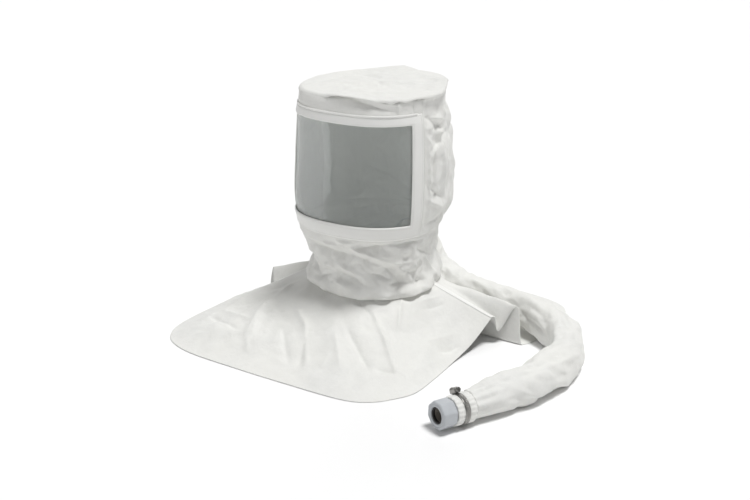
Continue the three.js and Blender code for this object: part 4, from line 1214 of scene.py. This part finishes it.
def turned(name, profile, origin, axis, up, sides, shape=None):
    """A closed profile of (radius, distance along) pairs swept round an axis."""
    side_way = np.cross(axis, up)
    angle = np.arange(sides) * 2 * np.pi / sides
    radius, distance = np.array(profile, float).T
    radius = np.repeat(radius[:, None], sides, 1)
    distance = np.repeat(distance[:, None], sides, 1)
    if shape is not None:
        radius, distance = shape(radius, distance, angle[None])
    points = (origin + axis * distance[..., None] + up * (radius * np.cos(angle))[..., None]
              + side_way * (radius * np.sin(angle))[..., None])
    index = np.arange(radius.size).reshape(radius.shape)
    below, beside_it = np.roll(index, -1, 0), np.roll(index, -1, 1)
    quads = np.stack([index, beside_it, np.roll(below, -1, 1), below], -1).reshape(-1, 4)
    piece = make_mesh(name, to_frame(points.reshape(-1, 3)), [tuple(q) for q in quads.tolist()])
    piece.data.update()
    if sum(p.area * p.center.dot(p.normal) for p in piece.data.polygons) < 0:
        piece.data.flip_normals()
    print(name, "faces", len(piece.data.polygons))
    return piece


def on_connector(name, profile, sides, shape=None):
    """A piece turned round the connector's axis, measured from its face."""
    return turned(name, profile, CONNECTOR_FACE, CONNECTOR_AXIS, connector_up, sides, shape)


def flats(count, flat, corner):
    """The radius of a round body with that many rounded flats, as a share of the corner's."""
    def share(angle):
        """How far the body reaches at an angle."""
        turned_by = (angle + np.pi / count) % (2 * np.pi / count) - np.pi / count
        return np.minimum(flat / np.cos(turned_by), corner) / corner
    return share


eight = flats(8, 19.35, 20.6)


def nut_shape(radius, distance, angle):
    """The flats, on the nut's outside only."""
    outer = smooth(radius, 17.6, 18.6) * (distance < 23.5)
    return radius * (1 - outer + outer * eight(angle)), distance


def rounded(profile, bevel=0.35):
    """The profile with each corner cut twice, so that its edges catch light."""
    corners = np.array(profile, float)
    result = []
    for before, at, after in zip(np.roll(corners, 1, 0), corners, np.roll(corners, -1, 0)):
        to_before, to_after = before - at, after - at
        cut = min(bevel, 0.4 * np.linalg.norm(to_before), 0.4 * np.linalg.norm(to_after))
        a = at + to_before / np.linalg.norm(to_before) * cut
        b = at + to_after / np.linalg.norm(to_after) * cut
        result += [a, (a + b) / 2 * 0.5 + at * 0.5, b]
    return result


# profiles are of radius and distance from the connector's face, in millimetres
NUT_PROFILE = [
    (12.3, 0.0), (15.4, 0.0), (15.7, 0.45), (16.5, 0.45), (16.8, 0.0), (19.3, 0.0), (20.6, 1.5),
    (20.6, 21.8), (19.6, 23.0), (17.5, 23.0), (17.5, 50.0), (9.4, 50.0), (9.4, 6.0), (12.3, 6.0),
]
nut = on_connector("connector_nut", rounded(NUT_PROFILE), 128, nut_shape)
finish_piece(nut, plastic, "plastic", "hose_connector")
# faces inside the bore take the darker colour, which is painted shade inside the bore
nut.data.materials.append(bore_shade)
BORE_LIMIT = 11.8
face_middle = to_frame(CONNECTOR_FACE)
for polygon in nut.data.polygons:
    out = np.array(polygon.center) - face_middle
    out -= CONNECTOR_AXIS * out.dot(CONNECTOR_AXIS)
    if np.linalg.norm(out) < BORE_LIMIT * MM:
        polygon.material_index = 1

GASKET_PROFILE = [(9.7, 1.2), (12.0, 1.2), (12.0, 5.2), (9.5, 5.2)]
gasket = on_connector("mouth_gasket", rounded(GASKET_PROFILE, 0.8), 64)
finish_piece(gasket, rubber, "rubber", "connector_gasket")


def pleats_at(angle):
    """The cuff's pleats, uneven in width."""
    return 0.42 * np.cos(angle * 21 + 0.8 * np.sin(angle * 2)) + 0.28 * np.cos(angle * 13 + 1.3)


def cuff_shape(radius, distance, angle):
    """Pleats on the cuff's outside, pressed flat beneath the clamp."""
    outer = smooth(radius, 18.5, 19.5)
    squeezed = 1 - 0.85 * smooth(distance, 33.5, 35.5) * smooth(distance, 45.5, 43.5)
    return radius + pleats_at(angle) * outer * squeezed, distance


cuff_outer = [(20.0, 24.2), (20.7, 24.9), (21.0, 27), (21.15, 30), (21.1, 32.5), (20.9, 34.2),
              (20.7, 35.4), (20.7, 39), (20.7, 43), (21.0, 44.6), (21.5, 46.4), (21.75, 49), (21.9, 52),
              (21.8, 54.2), (21.2, 55.0)]
cuff = on_connector("pleated_cuff", [(17.8, 24.0), *cuff_outer, (17.8, 55.0)], 220, cuff_shape)
finish_piece(cuff, sleeve_cloth, "cloth", "sleeve_cuff")

# %% [markdown]
# ## Worm clamp
#
# A steel band with a shallow thread pressed across it goes round the cuff. Its housing is an arch
# over the band, bored for the screw, whose hexagonal head has a slot.

# %% Worm clamp
BAND_RADIUS = 21.3
BAND_WALL = 0.9
BAND_MIDDLE = 39.25
HOUSING_TURN = math.radians(28)


def band_shape(radius, distance, angle):
    """A shallow thread is pressed across the band all round, but not in its smooth edges."""
    outer = smooth(radius, BAND_RADIUS + 0.4, BAND_RADIUS + 0.6)
    pressed = smooth(np.abs(distance - BAND_MIDDLE), 2.7, 2.2)
    tooth = smooth(np.cos(angle * 58 + (distance - BAND_MIDDLE) * 0.25), 0.1, 0.6)
    return radius - 0.42 * outer * pressed * tooth, distance


band_outer = [(BAND_RADIUS + BAND_WALL, BAND_MIDDLE + d) for d in
              (-3.9, -3.2, -2.75, -2.45, -2.1, -1, 0, 1, 2.1, 2.45, 2.75, 3.2, 3.9)]
band_profile = [(BAND_RADIUS, BAND_MIDDLE - 4.1), (BAND_RADIUS + 0.55, BAND_MIDDLE - 4.25), *band_outer,
                (BAND_RADIUS + 0.55, BAND_MIDDLE + 4.25), (BAND_RADIUS, BAND_MIDDLE + 4.1)]
band = on_connector("clamp_band_steel", band_profile, 696, band_shape)
finish_piece(band, steel, "steel", "clamp_band")

clamp_out = connector_up * math.cos(HOUSING_TURN) - connector_side * math.sin(HOUSING_TURN)
screw_axis = np.cross(CONNECTOR_AXIS, clamp_out)
SCREW_OUT = BAND_RADIUS + BAND_WALL + 0.3 + 4.2
screw_middle = CONNECTOR_FACE + CONNECTOR_AXIS * BAND_MIDDLE + clamp_out * SCREW_OUT
HOUSING_RADIUS, HOUSING_BORE = 4.25, 2.85


def housing_rings():
    """The worm's housing: an arch over the band, hollow for the screw, with rolled ends."""
    arch = [(HOUSING_RADIUS * math.cos(a), HOUSING_RADIUS * math.sin(a) - 0.05)
            for a in np.radians(steps(0, 180, 17))]
    outer = [(HOUSING_RADIUS, -4.2), (HOUSING_RADIUS, -2.0), *arch,
             (-HOUSING_RADIUS, -2.0), (-HOUSING_RADIUS, -4.2)]
    inner = [(-HOUSING_BORE * math.cos(a), HOUSING_BORE * math.sin(a))
             for a in np.radians(steps(-40, 220, 22))]
    rings = []
    for along_screw, swell in ((-6.5, -0.35), (-6.2, 0.0), (-5.2, 0.12), (-4.4, -0.1), (0, -0.1),
                               (4.4, -0.1), (5.2, 0.12), (6.2, 0.0), (6.5, -0.35)):
        larger = 1 + swell / HOUSING_RADIUS
        rings.append([(x * larger, y * larger if y > 0 else y, along_screw) for x, y in outer])
    return rings, [[(x, y, along_screw) for x, y in inner] for along_screw in (6.5, -6.5)]


def joined(rings, first):
    """Faces between rings of points that follow each other from a first number on."""
    size = len(rings[0])
    return [(first + r * size + k, first + r * size + (k + 1) % size,
             first + (r + 1) * size + (k + 1) % size, first + (r + 1) * size + k)
            for r in range(len(rings) - 1) for k in range(size)]


outside, bore = housing_rings()
vertices = [p for ring in outside + bore for p in ring]
faces = joined(outside, 0) + joined(bore, len(outside) * len(outside[0]))
over_band = np.cross(clamp_out, screw_axis)
points = np.array([screw_middle + over_band * x + clamp_out * y + screw_axis * z
                   for x, y, z in vertices])
housing = make_mesh("clamp_housing_steel", to_frame(points), faces)
shape = bmesh.new()
shape.from_mesh(housing.data)
open_edges = [e for e in shape.edges if len(e.link_faces) == 1]
for at_end in (False, True):
    along_it = [sum((np.array(v.co) @ screw_axis for v in e.verts)) / 2 for e in open_edges]
    limit = (max(along_it) + min(along_it)) / 2
    chosen = [e for e, a in zip(open_edges, along_it) if (a > limit) == at_end]
    bmesh.ops.bridge_loops(shape, edges=chosen)
bmesh.ops.recalc_face_normals(shape, faces=shape.faces)
shape.to_mesh(housing.data)
shape.free()
finish_piece(housing, steel, "steel", "clamp_housing")

six = flats(6, 3.45, 3.9)


THREAD_PITCH = 1.2


def screw_shape(radius, distance, angle):
    """A thread along the shank, a hexagonal head and a slot across it."""
    head = smooth(distance, 6.6, 6.9)
    ripple = 0.18 * np.cos(angle + distance * 2 * np.pi / THREAD_PITCH)
    radius = radius * (1 - head + head * six(angle)) + ripple * (1 - head) * smooth(radius, 2.0, 2.3)
    across_head = np.abs(radius * np.sin(angle))
    slot_depth = 1.3 * (distance > 10.5) * smooth(across_head, 0.75, 0.45)
    return radius, distance - slot_depth


# the head's end has many rings, so that the slot has clean sides
head_end = [(r, 10.9) for r in (3.2, 2.6, 2.0, 1.4, 0.8, 0.4, 0.02)]
screw_profile = [(0.02, -8.6), (1.7, -8.6), (2.3, -8.0), *[(2.35, d) for d in steps(-7.6, 6.4, 60)],
                 (2.35, 6.8), (3.5, 6.8), (3.9, 7.1), (3.9, 10.3), (3.6, 10.8), *head_end]
screw = turned("clamp_screw_steel", screw_profile, screw_middle, screw_axis, clamp_out, 60, screw_shape)
finish_piece(screw, steel, "steel", "clamp_screw")

# %% [markdown]
# ## Inlet ring
#
# A short plain ring goes through the back of the neck, and the hose comes out of it. The
# photograph doesn't show it.

# %% Inlet ring at the back of the neck
inlet_axis = unit(np.array([0.10, 0.85, -0.50]))
inlet_origin = place(INLET_TURN, plain_reach(INLET_TURN, INLET_HEIGHT), INLET_HEIGHT)
inlet_side = unit(np.cross(inlet_axis, UP))
INLET_PROFILE = [(18.2, -15.8), (19.9, -15.8), (19.9, 15.0), (20.5, 16.2), (20.5, 18.0), (19.9, 19.2),
                 (19.6, 19.8), (18.2, 19.8)]
inlet = turned("inlet_ring", rounded(INLET_PROFILE), inlet_origin, inlet_axis,
               np.cross(inlet_side, inlet_axis), 96)
finish_piece(inlet, plastic, "plastic", "hose_inlet")

# %% [markdown]
# ## Stitches
#
# The seams are sewn with white thread. Sewing is a pattern that follows a line, so it is made by
# Geometry Nodes: a seam line is laid on the cloth, points are spread on it at the stitch length,
# and each point gets a short rounded stitch turned along the line. The result becomes a plain
# mesh.

# %% Stitch tree and seam lines
STITCH_SIZES = {"Spacing": 0.0032, "Stitch Length": 0.0022, "Thread Radius": 0.00028}


def stitch_tree():
    """The node tree that turns a line into a row of stitches."""
    tree = bpy.data.node_groups.new("stitches_along_a_line", "GeometryNodeTree")
    face = tree.interface
    face.new_socket("Line", in_out="INPUT", socket_type="NodeSocketGeometry")
    for label, value in STITCH_SIZES.items():
        socket = face.new_socket(label, in_out="INPUT", socket_type="NodeSocketFloat")
        socket.default_value = value
    face.new_socket("Thread", in_out="INPUT", socket_type="NodeSocketMaterial")
    face.new_socket("Stitches", in_out="OUTPUT", socket_type="NodeSocketGeometry")
    nodes, links = tree.nodes, tree.links
    start = nodes.new("NodeGroupInput")
    end = nodes.new("NodeGroupOutput")
    curve = nodes.new("GeometryNodeMeshToCurve")
    even = nodes.new("GeometryNodeResampleCurve")
    even.mode = "LENGTH"
    tangent = nodes.new("GeometryNodeInputTangent")
    turn_to = nodes.new("FunctionNodeAlignRotationToVector")
    turn_to.axis = "Z"
    ball = nodes.new("GeometryNodeMeshUVSphere")
    set_inputs(ball, {"Segments": 6, "Rings": 5, "Radius": 1.0})
    half = nodes.new("ShaderNodeMath")
    half.operation = "MULTIPLY"
    half.inputs[1].default_value = 0.5
    size = nodes.new("ShaderNodeCombineXYZ")
    scatter = nodes.new("GeometryNodeInstanceOnPoints")
    real = nodes.new("GeometryNodeRealizeInstances")
    dress = nodes.new("GeometryNodeSetMaterial")
    for source, output, target, wanted in (
            (start, "Line", curve, "Mesh"), (curve, "Curve", even, "Curve"),
            (start, "Spacing", even, "Length"), (tangent, "Tangent", turn_to, "Vector"),
            (start, "Stitch Length", half, 0), (start, "Thread Radius", size, "X"),
            (start, "Thread Radius", size, "Y"), (half, "Value", size, "Z"),
            (even, "Curve", scatter, "Points"), (ball, "Mesh", scatter, "Instance"),
            (turn_to, "Rotation", scatter, "Rotation"), (size, "Vector", scatter, "Scale"),
            (scatter, "Instances", real, "Geometry"), (real, "Geometry", dress, "Geometry"),
            (start, "Thread", dress, "Material"), (dress, "Geometry", end, "Stitches")):
        links.new(source.outputs[output], target.inputs[wanted])
    return tree


STITCHES = stitch_tree()


def sew(name, lines):
    """Stitches along lines of points in millimetres. A line is (points, whether it closes)."""
    vertices, edges = [], []
    for points, closed in lines:
        first = len(vertices)
        vertices += [tuple(p) for p in to_frame(points)]
        edges += [(first + k, first + k + 1) for k in range(len(points) - 1)]
        if closed:
            edges.append((len(vertices) - 1, first))
    mesh = bpy.data.meshes.new(name + "_line")
    mesh.from_pydata(vertices, edges, [])
    piece = bpy.data.objects.new(name, mesh)
    scene.collection.objects.link(piece)
    modifier = piece.modifiers.new("stitches", "NODES")
    modifier.node_group = STITCHES
    sockets = {s.name: s.identifier for s in STITCHES.interface.items_tree if s.in_out == "INPUT"}
    for label, value in STITCH_SIZES.items():
        modifier[sockets[label]] = value
    modifier[sockets["Thread"]] = thread
    graph = bpy.context.evaluated_depsgraph_get()
    made = bpy.data.meshes.new_from_object(piece.evaluated_get(graph))
    piece.modifiers.clear()
    piece.data = made
    made.shade_smooth()
    return finish_piece(piece, thread, "tape")


def around_window(share, lift_by):
    """A line round the border, at a share of its width."""
    ring = tape_grid([share], 60)[0]
    turn, height = ring[:, 0], ring[:, 1]
    return place(turn, plain_reach(turn, height) + lift_by, height)


def on_grid(points, row, lift_by):
    """A line along one row of a bib's grid."""
    line = points[row].copy()
    line[:, 2] += lift_by
    return line


seam_lines = [(around_window(0.16, 1.25), True), (around_window(0.84, 1.25), True),
              (on_grid(front_points, 3, 0.15), False), (on_grid(rear_points, 3, 0.15), False)]
stitches = sew("seam_stitches", seam_lines)
print("stitches, faces", len(stitches.data.polygons))

# %% [markdown]
# ## Floor and light
#
# A plain pale floor runs out past the picture. The main light is broad and high, from the wearer's
# left and a little behind. A low light from behind and a weak one from the front right soften the
# shadows, and so does the pale surround.

# %% Floor and light
FLOOR_REACH = 12
floor_corners = np.array([[-1, -1, 0], [1, -1, 0], [1, 1, 0], [-1, 1, 0]]) * float(FLOOR_REACH)
floor = make_mesh("floor", floor_corners + [0, 0, -SEAT_HEIGHT * MM], [(0, 1, 2, 3)])
floor_material, _, floor_shader, _ = new_material("pale_floor")
set_inputs(floor_shader, {"Base Color": (0.97, 0.97, 0.97, 1), "Roughness": 0.9,
                          "Specular IOR Level": 0.1})
floor.data.materials.append(floor_material)

world = bpy.data.worlds.new("studio")
scene.world = world
world.use_nodes = True
set_inputs(world.node_tree.nodes["Background"], {"Color": (1, 1, 1, 1), "Strength": 0.21})


def sun(name, azimuth, elevation, strength, spread_angle):
    """A distant light from an azimuth and an elevation in degrees, and how wide it seems."""
    data = bpy.data.lights.new(name, "SUN")
    data.energy = strength
    data.angle = math.radians(spread_angle)
    lamp = bpy.data.objects.new(name, data)
    scene.collection.objects.link(lamp)
    a, e = math.radians(azimuth), math.radians(elevation)
    back = Vector((math.sin(a) * math.cos(e), -math.cos(a) * math.cos(e), math.sin(e)))
    lamp.rotation_euler = (-back).to_track_quat("-Z", "Y").to_euler()


sun("key_light", 104, 75, 2.45, 16)
sun("rim_light", 215, 30, 0.45, 40)
sun("fill_light", -35, 24, 0.24, 50)
scene.view_settings.view_transform = "Standard"
print("lights", len(bpy.data.lights))


def surface_of(piece):
    """Half of a closed sheet's surface, which is the area of its cloth."""
    return sum(p.area for p in piece.data.polygons) / 2


# each panel, its width and length in metres, how it is held, and its share of that rectangle
SHEETS = [
    (crown, (0.235, 0.265), "stretched", 0.80),
    (brow, (0.290, 0.026), "stretched", 1.0),
    (side, (0.490, 0.235), "gathered", 1.0),
    (neck, (0.720, 0.125), "gathered", 1.0),
    (front, (0.560, 0.330), "draped", 0.78),
    (rear, (0.560, 0.330), "draped", 0.78),
    (left_tape, (0.0105, 0.110), "stretched", 1.0),
    (right_tape, (0.0105, 0.130), "stretched", 1.0),
    (tape, (0.300, 0.197), "stretched", 0.38),
]
for piece, (width, length), held, share in SHEETS:
    print(piece.name, "cloth", round(surface_of(piece), 4), "cut", round(width * length * share, 4))
